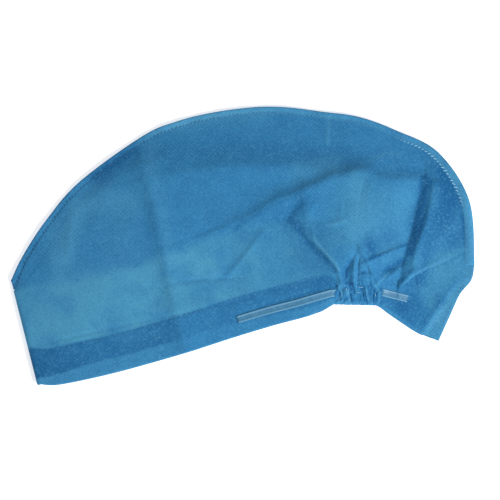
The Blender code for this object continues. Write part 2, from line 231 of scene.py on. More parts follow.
# %% Fold table
FOLDS = (
    # name, rise, width left, width right, strength at start, at end (mm), path in pixels
    ("side_crease", 2.3, 20, 7, 0.3, 0.7, ((140, 146), (145, 176), (152, 202), (157, 228), (165, 262),
        (174, 305), (186, 353))),
    ("rim_rise", 2.4, 9, 14, 0.2, 1.0, ((80, 205), (92, 194), (108, 181), (124, 171), (139, 164))),
    ("upper_swell", 2.6, 11, 20, 0.5, 0.5, ((150, 178), (200, 170), (250, 166), (300, 168),
        (324, 172))),
    ("crown_dart", 0.5, 2.5, 2.0, 0.2, 0.2, ((328, 111), (327, 128), (326, 146))),
    ("crown_fleck", 0.6, 4, 5, 0.2, 0.2, ((372, 163), (384, 158), (398, 157))),
    ("fan_crest", 4.6, 6.5, 26, 0.35, 0.55, ((228, 225), (243, 219.5), (256, 213.5), (266, 206.5),
        (279, 199.5), (292, 195), (305, 189), (317, 184), (332, 176.5), (344, 174.5), (353, 171.5),
        (361, 170.5), (368, 172.5), (375, 177.5), (384, 179.5), (394, 181), (405, 179.5), (425, 180))),
    ("fan_left_edge", 1.9, 14, 6, 0.3, 0.4, ((303, 196), (304.5, 206), (307, 214), (306, 220))),
    ("fan_left_hollow", -1.6, 6, 6, 0.3, 0.3, ((297, 204), (289, 215), (283, 224))),
    ("fan_stripe", 0.45, 3, 3, 0.2, 0.2, ((312, 203), (310, 214))),
    ("face_line", 0.35, 2.2, 2.2, 0.2, 0.2, ((340, 200), (340, 216))),
    ("front_hollow", -1.5, 2.2, 3.5, 0.3, 0.7, ((298, 227), (304, 239), (313, 248.5), (324, 258),
        (333, 269))),
    ("front_spoke", 1.4, 3.5, 2.0, 0.3, 0.9, ((310, 230), (314, 241), (321, 249.5), (328, 256.5),
        (334, 263), (337, 268.5), (338.5, 276), (340, 284))),
    ("middle_crease", 0.7, 3, 1.4, 0.3, 0.3, ((327, 226), (336, 224), (345, 220))),
    ("back_valley", -3.4, 4.5, 12, 0.7, 0.7, ((422, 184), (418, 198), (413.6, 212.5), (411, 227.5),
        (407, 240), (404, 252), (401, 264), (399, 278))),
    ("back_ridge", 3.2, 16, 4.5, 0.5, 0.5, ((432, 172), (433, 183), (431.4, 196.5), (428, 212.5),
        (424.3, 226), (419, 239.5), (415.5, 250), (413, 262), (414, 270))),
    ("tent_roof", 1.4, 2.0, 2.4, 0.3, 0.8, ((343, 239), (350, 244), (356, 249), (361, 252))),
    ("tent_right_eave", 2.0, 3.2, 2.0, 0.8, 0.5, ((358, 249), (363.6, 256.6), (367, 264), (370, 270.5),
        (374, 277), (378, 284))),
    ("tent_hollow", -2.6, 4.5, 2.0, 0.3, 0.8, ((353, 254), (349, 262), (344.5, 269), (344, 276),
        (347, 283), (350, 288))),
    ("tent_left_eave", 1.5, 2.2, 2.0, 0.4, 0.6, ((354.5, 257), (353, 266), (352.5, 275), (353.5, 286))),
    ("tent_cut", -1.5, 0.9, 0.9, 0.6, 0.7, ((358.2, 257), (357.4, 264), (357, 270), (356.4, 280),
        (356, 288))),
    ("tent_slit", -1.7, 0.7, 1.5, 0.4, 0.5, ((357.5, 272.5), (362, 272.3), (367.5, 271.5))),
    ("nape_crease", 1.9, 1.2, 6.0, 0.4, 0.5, ((364, 261.5), (376, 256.3), (385, 252.8), (393, 249.6),
        (400, 247))),
    ("nape_crease_tail", 0.7, 2.5, 1.2, 0.4, 0.3, ((393, 249.6), (400, 247), (407, 244.5))),
    ("nape_valley", -2.3, 1.6, 3.2, 0.5, 0.5, ((382, 271.5), (388, 268.5), (392.5, 266), (402, 261.5))),
    ("nape_strut", 1.5, 2.4, 3.0, 0.5, 0.3, ((384, 279), (391.7, 274), (399, 268.5))),
    ("gather_lip", 1.9, 3.0, 4.0, 0.8, 0.6, ((399.5, 286), (402, 283), (408, 276), (413, 271))),
    ("nape_spoke", 1.1, 3.5, 1.4, 0.6, 0.4, ((412, 273.5), (421, 270), (432, 265), (445, 258),
        (463, 249))),
    ("low_nape", 0.7, 8, 8, 0.3, 0.3, ((425, 282), (440, 276), (455, 268))),
    ("nape_light", 1.0, 5, 9, 0.3, 0.3, ((432, 246), (440, 238), (447, 230), (455, 220))),
    ("low_streak", 0.35, 2.2, 2.2, 0.3, 0.3, ((421.5, 300), (422, 317))),
    ("above_tape_crease", -0.9, 0.9, 1.8, 0.3, 0.3, ((153, 286.5), (176, 282.5), (199, 279.3),
        (224, 278.3), (246, 277.5))),
    ("band_diagonal", 1.0, 1.8, 3.6, 0.4, 0.2, ((224.5, 277.5), (235, 266), (246.5, 252.5), (257, 238),
        (267, 227))),
    ("tape_end_tuck", 0.5, 1.2, 1.2, 0.3, 0.3, ((230, 291), (233, 298), (238, 306))),
    ("forehead_swell", 0.9, 7, 8, 0.3, 0.3, ((74, 205), (69, 232), (68, 262))),
    ("tape_shadow", -0.55, 1.8, 1.0, 0.3, 0.9, ((238, 313), (264, 304.5), (289, 297.5), (315, 290),
        (333, 286))),
    ("hem_seam", -0.4, 1.1, 1.1, 1.0, 0.3, ((26, 347), (80, 335), (133, 323), (173, 315), (230, 302),
        (264, 291), (309, 281))),
    ("hem_strip_line", -0.25, 0.9, 0.9, 1.0, 0.2, ((36, 371), (72, 365), (107, 357.5), (153, 346))),
    ("gather_left_shadow", -0.35, 3, 3, 0.3, 0.5, ((318, 284), (328, 283), (335, 287))),
)
print("folds:", len(FOLDS))

# %% [markdown]
# ## From a path to a fold
#
# Each point of the cloth looks for the nearest place on the path. How far away it is gives the
# height of the fold there, by a curve with a crisp crest and long soft flanks.

# %% Fold helper
BULGE = ((0.720, 0.160), (0.824, 0.400))
BULGE_WIDTH = 0.105 * LENGTH
BULGE_RISE = 0.60 * LOFT


def fold_height(fold, points):
    """Height that one fold gives to each point."""
    rise, left, right, start, end, pixels = fold[1:]
    path = seen(pixels)
    line = through(path, np.linspace(0, len(path) - 1, 6 * (len(path) - 1) + 1))
    nearest = np.full(points.shape[:-1], 1e9)
    side = np.zeros_like(nearest)
    share = np.zeros_like(nearest)
    pieces = len(line) - 1
    for index in range(pieces):
        origin = line[index]
        run = line[index + 1] - origin
        offset = points - origin
        part = np.clip(offset @ run / (run @ run), 0, 1)
        away = offset - part[..., None] * run
        distance = np.hypot(away[..., 0], away[..., 1])
        closer = distance < nearest
        nearest = np.where(closer, distance, nearest)
        side = np.where(closer, run[0] * offset[..., 1] - run[1] * offset[..., 0], side)
        share = np.where(closer, (index + part) / pieces, share)
    width = np.where(side > 0, left, right) * MM
    away = nearest / width
    profile = np.exp(-1.8 * (np.sqrt(away**2 + 0.03) - math.sqrt(0.03)))
    strength = np.interp(share, (0, 0.35, 0.65, 1), (start, 1, 1, end))
    return rise * MM * strength * profile


def bulge_height(points):
    """The broad swell of cloth that the gathers push up."""
    start = np.array(BULGE[0]) * (LENGTH, HEIGHT)
    run = np.array(BULGE[1]) * (LENGTH, HEIGHT) - start
    part = np.clip((points - start) @ run / (run @ run), 0, 1)
    away = np.linalg.norm(points - start - part[..., None] * run, axis=-1) / BULGE_WIDTH
    return BULGE_RISE * np.exp(-(away**2))


# %% [markdown]
# ## Crumpled cloth
#
# Cloth that was packed flat keeps a net of faint creases. Noise gives smooth hills, and taking
# away its absolute value turns each zero line into a sharp crease between flatter fields.

# %% Crumple helper


def noise_field(points, size, seed):
    """Smooth noise from about -1 to 1 over places on the table."""
    flat = points.reshape(-1, 2) / size
    values = [noise.noise(Vector((x, y, seed))) for x, y in flat]
    return np.array(values).reshape(points.shape[:-1])


CRUMPLES = (
    # crease spacing in mm, depth in mm, seed
    (38, 0.55, 3.1),
    (17, 0.26, 7.7),
    (8, 0.10, 12.3),
)


def crumple(points):
    """Net of faint creases: each noise folded over where it is zero."""
    total = np.zeros(points.shape[:-1])
    for size, depth, seed in CRUMPLES:
        total += depth * MM * (0.35 - np.abs(noise_field(points, size * MM, seed)))
    return total


# %% [markdown]
# ## The gathers
#
# Elastic pulls the hem together, so the spare cloth stands up in puckers. Each pucker is round
# on top and pinched to a sharp line where it is sewn, which is the shape of an absolute cosine.
# They start close together at the tape, and only a few of them run on up the panel. Finer noise
# crinkles the cloth between them.

# %% Gather helper
PUCKERS = 13
PUCKER_RISE = 0.40 * MM
PINCH_RISE = 2.0 * MM
PINCH_SIZE = 3.1 * MM
PINCH_TOP = 12 * MM
PINCH_FADE = 13 * MM
LONG_PUCKERS = 5
LONG_PUCKER_RISE = 0.35 * MM
TAPE_UP = 8.5 * MM


def gather_share(place):
    return (place - GATHER_START) / (GATHER_END - GATHER_START)


def gathers(place, height, points):
    """Rise of the puckers and their sideways lean, in metres."""
    # waves along the hem and up the panel keep the puckers from being alike
    share = gather_share(place)[:, None] + 0 * height
    inside = ease(np.clip(share, 0, 1) * 8) * ease(np.clip(1 - share, 0, 1) * 8)
    wander = 0.5 * np.sin(height / (4.6 * MM) + 17 * share)
    wander = wander + 0.35 * np.sin(height / (2.3 * MM) - 23 * share)
    count = PUCKERS * share + 0.45 * np.sin(9.0 * share + 0.4) + 0.22 * np.sin(31.0 * share)
    turn = math.pi * count + wander
    pinched = 2 * np.sqrt(np.cos(turn) ** 2 + 0.07) - 1
    number = np.floor(turn / math.pi + 0.5)
    reach = (6 + 4 * np.sin(number * 2.4 + 0.6)) * MM
    uneven = 0.8 + 0.35 * np.sin(number * 1.7)
    fade = 1 - ease((height - TAPE_UP) / reach)
    at_hem = 0.75 + 0.25 * ease(height / TAPE_UP)
    rise = PUCKER_RISE * uneven * pinched * fade * at_hem
    pinches = 0.3 - np.abs(noise_field(points, PINCH_SIZE, 5.5))
    pinches = pinches - 0.42 * np.abs(noise_field(points, 0.45 * PINCH_SIZE, 8.5))
    rise = rise + PINCH_RISE * pinches * (1 - ease((height - PINCH_TOP) / PINCH_FADE))
    long_turn = math.pi * (LONG_PUCKERS * share + 0.3 * np.sin(7.0 * share + 1.0))
    long_fade = ease((height - 6 * MM) / (9 * MM)) * (1 - ease((height - 18 * MM) / (30 * MM)))
    rise = rise + LONG_PUCKER_RISE * (2 * np.sqrt(np.cos(long_turn) ** 2 + 0.03) - 1) * long_fade
    lean = 0.30 * MM * np.sin(2 * turn) * fade
    return rise * inside, lean * inside


# %% [markdown]
# ## The two panels and the fold between them
#
# The lower panel is flat on the table. The upper panel rises from its seams like a slack sail.
# A half circle of cloth joins them at the forehead. All three are read by the same two numbers:
# a place in the station table and a height above the hem.

# %% Panel surfaces


def outline_inward(place):
    ahead = through(OUTLINE, np.minimum(place + 0.02, LAST))
    run = ahead - through(OUTLINE, np.maximum(place - 0.02, 0))
    turned = np.stack([run[..., 1], -run[..., 0]], axis=-1)
    return turned / np.linalg.norm(turned, axis=-1, keepdims=True)


def crown_edge(place):
    """Where the panel meets the seam's flange."""
    into = outline_inward(place)
    at_fold = np.clip(1 - place, 0, 1)[:, None]
    down = np.stack([np.zeros(len(place)), 1 / into[:, 1]], axis=-1)
    inset = (through(FLANGE, place) + GAP)[:, None]
    return through(OUTLINE, place) + (into * (1 - at_fold) + down * at_fold) * inset


def near_hem(place):
    """Hem of the upper panel, with a sharp corner at each end of the gather."""
    places, along, up = np.array(GATHER_EDGE).T
    sharp = np.column_stack([np.interp(place, places, along), np.interp(place, places, up)])
    return np.where((place < places[0])[:, None], through(HEM, place), sharp * (LENGTH, HEIGHT))


def run_of_cloth(place, far):
    """Both ends of each line of the cloth, at the hem and at the rim, and its length."""
    low = near_hem(place)
    if far:
        low = through(HEM, place) + np.stack([np.zeros(len(place)), through(FAR_RISE, place)], axis=-1)
    high = crown_edge(place)
    return low, high, np.linalg.norm(high - low, axis=-1)


def line_lengths(place, far=False):
    """Length of each line of the cloth, as a column."""
    return run_of_cloth(np.minimum(place, LAST), far)[2][:, None]


back_line = run_of_cloth(np.array([float(LAST)]), False)
BACK_LOW, BACK_HIGH, BACK_LENGTH = (value[0] for value in back_line)
BACK_INWARD = np.array([BACK_LOW[1] - BACK_HIGH[1], BACK_HIGH[0] - BACK_LOW[0]]) / BACK_LENGTH
print("back seam line:", round(BACK_LENGTH / MM, 1), "mm")


def back_distance(points):
    return np.maximum(0, (points - BACK_LOW) @ BACK_INWARD)


def fold_radius(share):
    return FOLD_RADIUS + (FOLD_RADIUS_TOP - FOLD_RADIUS) * np.clip(share, 0, 1) ** 6


def on_line(place, height, far):
    """Plan places, share of each line and its length for an array of heights."""
    low, high, length = run_of_cloth(np.minimum(place, LAST), far)
    share = height / length[:, None]
    points = low[:, None] + (high - low)[:, None] * share[..., None]
    return points, share, length[:, None]


def rim_lift(points, length, height):
    edge = np.minimum(length - height, back_distance(points))
    return RIM_LIFT * (1 - ramp(edge, RIM_REACH))


def lower_panel(place, height):
    points, share, length = on_line(place, height, True)
    radius = fold_radius(share)
    lift = np.interp(place, np.arange(LAST + 1), LIFT)[:, None]
    room = TAPE_ROOM * lift * (1 - ease((height - HEM_TURN_UP) / TAPE_ROOM_FADE))
    z = CLOTH / 2 + rim_lift(points, length, height) + room
    return np.dstack([points[..., 0] + radius * np.clip(1 - place, 0, 1)[:, None], points[..., 1], z])


def forehead_fold(angle, height):
    points, share, length = on_line(np.zeros(len(angle)), height, False)
    radius = fold_radius(share)
    z = CLOTH / 2 + rim_lift(points, length, height) + radius * (1 + np.sin(angle)[:, None])
    return np.dstack([points[..., 0] + radius * (1 - np.cos(angle)[:, None]), points[..., 1], z])


def upper_panel(place, height, folded, gathered):
    """The upper panel, with or without its folds and its gathers."""
    points, share, length = on_line(place, height, False)
    radius = fold_radius(share)
    front = ramp(points[..., 0], FRONT_REACH)
    crown = ramp(length - height, CROWN_REACH)
    back = ease(BACK_START + (1 - BACK_START) * back_distance(points) / BACK_REACH)
    fold_gape = radius * (1 + math.sin(FOLD_END))
    back_gape = SEAM_GAPE + (BACK_GAPE - SEAM_GAPE) * (1 - np.clip(share, 0, 1) ** 3)
    gape = SEAM_GAPE + (fold_gape - SEAM_GAPE) * (1 - front) + (back_gape - SEAM_GAPE) * (1 - back)
    z = CLOTH / 2 + rim_lift(points, length, height) + gape
    z = z + (LOFT + bulge_height(points)) * front * crown * back
    x = points[..., 0] + radius * (1 - math.cos(FOLD_END)) * np.clip(1 - place, 0, 1)[:, None]
    if folded:
        # folds die out toward the edges, where the cloth is held
        free = ease(front * 2.2) * ease(crown * 2.2) * ease(back * 3.0)
        z = z + free * (crumple(points) + sum(fold_height(fold, points) for fold in FOLDS))
    if gathered:
        rise, lean = gathers(place, height, points)
        z = z + rise
        x = x + lean
    return np.dstack([x, points[..., 1], z])


# %% [markdown]
# ## One grid for all of the cloth
#
# The sheet is one grid. Its columns run from the back seam of the lower panel, round the
# forehead, to the back seam of the upper one. Its rows run from the edge of the turned-up hem,
# round the bend at the hem, and up to the rim of the seam. Columns and rows are closest where
# the creases are finest.

# %% Columns and rows
FOLD_STEPS = 12
OUTER_ROWS = 110
LEAF_ROWS = 9
BEND_STEPS = 6
ROW_CROWDING = 0.44
RIM_OFFSETS = (3.0, 2.0, 1.2, 0.6, 0.0)
FLANGE_SHARES = (0.10, 0.22, 0.38, 0.58, 0.80, 1.0)


def spread(counts):
    """Places in the station table, with counts of steps between its rows."""
    places = [index + step / count for index, count in enumerate(counts) for step in range(count)]
    return np.array(places + [float(len(counts))])


NEAR_COLUMNS = spread(near_steps)
FAR_COLUMNS = spread(far_steps)[::-1]
TURN = np.linspace(-math.pi / 2, FOLD_END, FOLD_STEPS + 1)[1:-1]
print("columns:", len(NEAR_COLUMNS) + len(FAR_COLUMNS) + len(TURN))


def outer_heights(length, rows):
    """Heights of the rows between the hem's bend and the seam's rim, closest at the hem."""
    even = np.linspace(0, 1, rows)
    share = mix(even, even**2, ROW_CROWDING)
    top = length - 1.3 * RIM_OFFSETS[0] * MM
    lower = HEM_BEND + (top - HEM_BEND)[:, None] * share
    rim = length[:, None] - np.array(RIM_OFFSETS) * MM
    return np.concatenate([lower, rim], axis=1)


# %% [markdown]
# ## The seam's flange and the flap at the back
#
# At the crown both panels end in a narrow rim, and the rims are welded flat to each other. At
# the back the rims widen into a flap. The flange waves a little, because a long weld never
# stays straight.

# %% Flange and flap
FLANGE_PUFF = 0.9 * MM
FLANGE_GROOVE = 0.22 * MM
FLAP_LEVEL = 2.15 * MM
FLAP_RISE = 1.2 * MM
FLAP_HALF = 0.35 * MM
FLAP_WAVE = 0.25 * MM


def rims(place):
    """Rim of the upper panel and of the lower one, without folds."""
    upper = upper_panel(place, line_lengths(place), False, False)[:, 0]
    lower = lower_panel(place, line_lengths(place, True))[:, 0]
    return upper, lower


def seam_level(place):
    """Height of the seam, half way between the rims."""
    upper, lower = rims(place)
    return (upper[:, 2] + lower[:, 2]) / 2


def seam_wave(place):
    return 0.30 * MM * np.sin(place * 4.1 + 0.7) + 0.18 * MM * np.sin(place * 11.3)


def flange_rows(place, edge, far):
    """Rows from the panel's rim to the outline, pressed flat beside the other panel."""
    held = np.minimum(place, LAST)
    outer = through(OUTLINE, held)
    middle = seam_level(held)
    wave = seam_wave(held)
    puff = 0 if far else FLANGE_PUFF * ease((held - 12.5) * 1.6)
    rows = []
    for share in FLANGE_SHARES:
        plan = mix(edge[:, :2], outer, share)
        settle = ease(np.full(len(place), share * 2.4))
        groove = -FLANGE_GROOVE * math.exp(-(((share - 0.16) / 0.12) ** 2))
        level = middle + (-FLANGE_HALF - groove if far else FLANGE_HALF + groove)
        z = mix(edge[:, 2], level, settle) + wave * share + puff * math.sin(math.pi * share)
        rows.append(np.column_stack([plan, z]))
    return np.stack(rows, axis=1)


def back_edges(steps):
    """Inner and outer edge of the flap and its height, from its top end down."""
    inner = mix(BACK_HIGH[None], BACK_LOW[None], steps[:, None])
    outer = through(BACK, steps * (len(BACK) - 1))
    return inner, outer, FLAP_LEVEL + FLAP_RISE * steps


def flap(points, place, far):
    """Columns past the back seam line move out to the flat flap down the back."""
    share = np.clip(place - LAST, 0, 1)[:, None]
    steps = np.linspace(0, 1, 400)
    edge = back_edges(steps)[1]
    along = np.clip((points[..., :2] - BACK_LOW) @ (BACK_HIGH - BACK_LOW) / BACK_LENGTH**2, 0, 1)
    outer = np.dstack([np.interp(1 - along, steps, edge[:, axis]) for axis in (0, 1)])
    moved = points.copy()
    moved[..., :2] = mix(points[..., :2], outer, share[..., None])
    level = FLAP_LEVEL + (1 - along) * FLAP_RISE + (-FLAP_HALF if far else FLAP_HALF)
    wave = FLAP_WAVE * np.sin(along * 17) * share
    moved[..., 2] = mix(points[..., 2], level, ease(share * 2.0)) + wave
    return np.where(share[..., None] > 0, moved, points)


print("flap from", np.round(BACK_HIGH / MM, 1), "to", np.round(BACK_LOW / MM, 1), "mm")

# %% [markdown]
# ## All columns together
#
# The lower panel, the fold at the forehead and the upper panel are joined here, so that the
# rest of the script sees one sheet. Layers inside the cap are moved inwards from it, along
# directions that are taken from the surface without folds.

# %% Whole sheet
DIRECTION_STEP = 0.4 * MM
SPLITS = (len(FAR_COLUMNS), len(FAR_COLUMNS) + len(TURN))


def smooth_cloth(height):
    """The sheet without its folds and gathers."""
    parts = np.split(height, SPLITS)
    return np.concatenate([
        lower_panel(np.minimum(FAR_COLUMNS, LAST), parts[0]),
        forehead_fold(TURN, parts[1]),
        upper_panel(np.minimum(NEAR_COLUMNS, LAST - 0.001), parts[2], False, False),
    ])


def inward(height):
    """Unit directions into the cap over all columns."""
    across = np.gradient(smooth_cloth(height), axis=0)
    upward = smooth_cloth(height + DIRECTION_STEP) - smooth_cloth(height - DIRECTION_STEP)
    normal = np.cross(upward, across)
    size = np.linalg.norm(normal, axis=-1, keepdims=True)
    return normal / np.maximum(size, 1e-12)


def cloth_points(height, flanged):
    """Middle of the cloth at these heights, with the seam's flange if asked."""
    parts = np.split(height, SPLITS)
    lower = lower_panel(FAR_COLUMNS, parts[0])
    fold = forehead_fold(TURN, parts[1])
    upper = upper_panel(NEAR_COLUMNS, parts[2], True, True)
    if flanged:
        lower = np.concatenate([lower, flange_rows(FAR_COLUMNS, lower[:, -1], True)], axis=1)
        upper = np.concatenate([upper, flange_rows(NEAR_COLUMNS, upper[:, -1], False)], axis=1)
        turn = (np.sin(TURN) + 1)[:, None, None] / 2
        ends = mix(lower[-1:, fold.shape[1]:], upper[:1, fold.shape[1]:], turn)
        fold = np.concatenate([fold, ends], axis=1)
    lower = flap(lower, FAR_COLUMNS, True)
    upper = flap(upper, NEAR_COLUMNS, False)
    return np.concatenate([lower, fold, upper])


far_lengths = line_lengths(FAR_COLUMNS, True)[:, 0]
near_lengths = line_lengths(NEAR_COLUMNS)[:, 0]
LENGTHS = np.concatenate([far_lengths, np.full(len(TURN), near_lengths[0]), near_lengths])
PLACES = np.concatenate([-FAR_COLUMNS, np.zeros(len(TURN)), NEAR_COLUMNS])
print("lines from", round(LENGTHS.min() / MM), "to", round(LENGTHS.max() / MM), "mm long")

# %% [markdown]
# ## From points to a piece
#
# The grid primitive gives the faces, and the points give each vertex its place. A Solidify
# modifier then makes the surface a wall, as a real sheet has two sides. The map keeps where
# each point is in the cloth, so that the finish can follow the hem and not the table.

# %% Sheet helper


def select_only(piece):
    bpy.ops.object.select_all(action="DESELECT")
    piece.select_set(True)
    bpy.context.view_layer.objects.active = piece


def sheet_piece(name, points, flat_map, thickness, tones=None):
    """A wall over an array of points, columns first, with a map of (across, up) values."""
    across, up = points.shape[:2]
    bpy.ops.mesh.primitive_grid_add(x_subdivisions=across - 1, y_subdivisions=up - 1, size=1)
    piece = bpy.context.object
    piece.name = piece.data.name = name
    placed = points - np.array([MIDDLE[0], MIDDLE[1], 0])
    ordered = placed.transpose(1, 0, 2).reshape(-1)
    piece.data.vertices.foreach_set("co", ordered.astype(np.float32))
    layer = piece.data.uv_layers[0]
    layer.name = "cloth"
    corners = np.empty(len(piece.data.loops), np.int32)
    piece.data.loops.foreach_get("vertex_index", corners)
    values = flat_map.transpose(1, 0, 2).reshape(-1, 2)[corners]
    layer.data.foreach_set("uv", values.astype(np.float32).reshape(-1))
    if tones is not None:
        tone = piece.data.attributes.new("tone", "FLOAT_COLOR", "POINT")
        tone.data.foreach_set("color", tones.transpose(1, 0, 2).reshape(-1).astype(np.float32))
    wall = piece.modifiers.new("wall", "SOLIDIFY")
    wall.thickness = thickness
    wall.offset = 0
    select_only(piece)
    bpy.ops.object.modifier_apply(modifier="wall")
    piece.data.shade_smooth()
    print(name, "has", len(piece.data.polygons), "faces")
    return piece


# %% [markdown]
# ## Layers behind the cloth
#
# What lies behind the thin cloth changes its colour, and so do worn places. Each point of the
# cloth keeps four numbers for its finish: how much it lies over the sweatband, over the double
# hem, how pale it is, and how clear its embossing is. The first three also carry painted shade
# and painted highlights along the folds. The heights of the layers come from a table along the
# hem, because the gathers draw them down.

# %% Layer table
LAYERS = (
    # place, top of the band, of the hem and of the pale strip in mm, depth of band, hem and strip
    (0.0, 64, 24, 4.0, 0.85, 0.75, 0.35),
    (1.0, 64, 24, 6.5, 1.0, 0.75, 0.25),
    (2.5, 64, 24, 9.5, 1.0, 0.43, 0.20),
    (3.6, 64, 24, 9.5, 0.9, 0.72, 0.15),
    (4.0, 64, 24, 9.0, 0.9, 0.30, 0.00),
    (4.6, 64, 24, 9.0, 0.9, 0.25, 0.00),
    (5.6, 64, 24, 7.0, 0.75, 0.36, 0.05),
    (6.5, 64, 24, 6.0, 0.55, 0.40, 0.10),
    (7.3, 62, 22, 5.0, 0.45, 0.45, 0.10),
    (8.6, 58, 17, 3.0, 0.25, 0.35, 0.20),
    (9.7, 58, 13, 2.0, 0.2, 0.30, 0.10),
    (10.5, 58, 12, 2.0, 0.2, 0.40, 0.10),
    (11.2, 60, 14, 3.0, 0.1, 0.60, 0.20),
    (11.8, 60, 17, 3.0, 0.0, 0.65, 0.10),
    (12.5, 40, 20, 2.0, 0.25, 0.50, 0.10),
    (13.5, 62, 18, 2.0, 0.4, 0.25, 0.10),
    (14.0, 70, 12, 2.0, 0.3, 0.10, 0.10),
    (15.0, 70, 8, 2.0, 0.0, 0.00, 0.30),
)
# the hem number also carries painted shade, and the pale and band numbers painted highlights and
# painted light
BAND_AND_PAINTED_LIGHT, HEM_AND_PAINTED_SHADE, PALE_AND_PAINTED_HIGHLIGHT, EMBOSSED = range(4)
# the flap is painted paler and greener; part of this paleness is painted light on its face
FLAP_TONES = {PALE_AND_PAINTED_HIGHLIGHT: 0.22, BAND_AND_PAINTED_LIGHT: 0.60, HEM_AND_PAINTED_SHADE: 0.18}
print("rows of layers:", len(LAYERS))
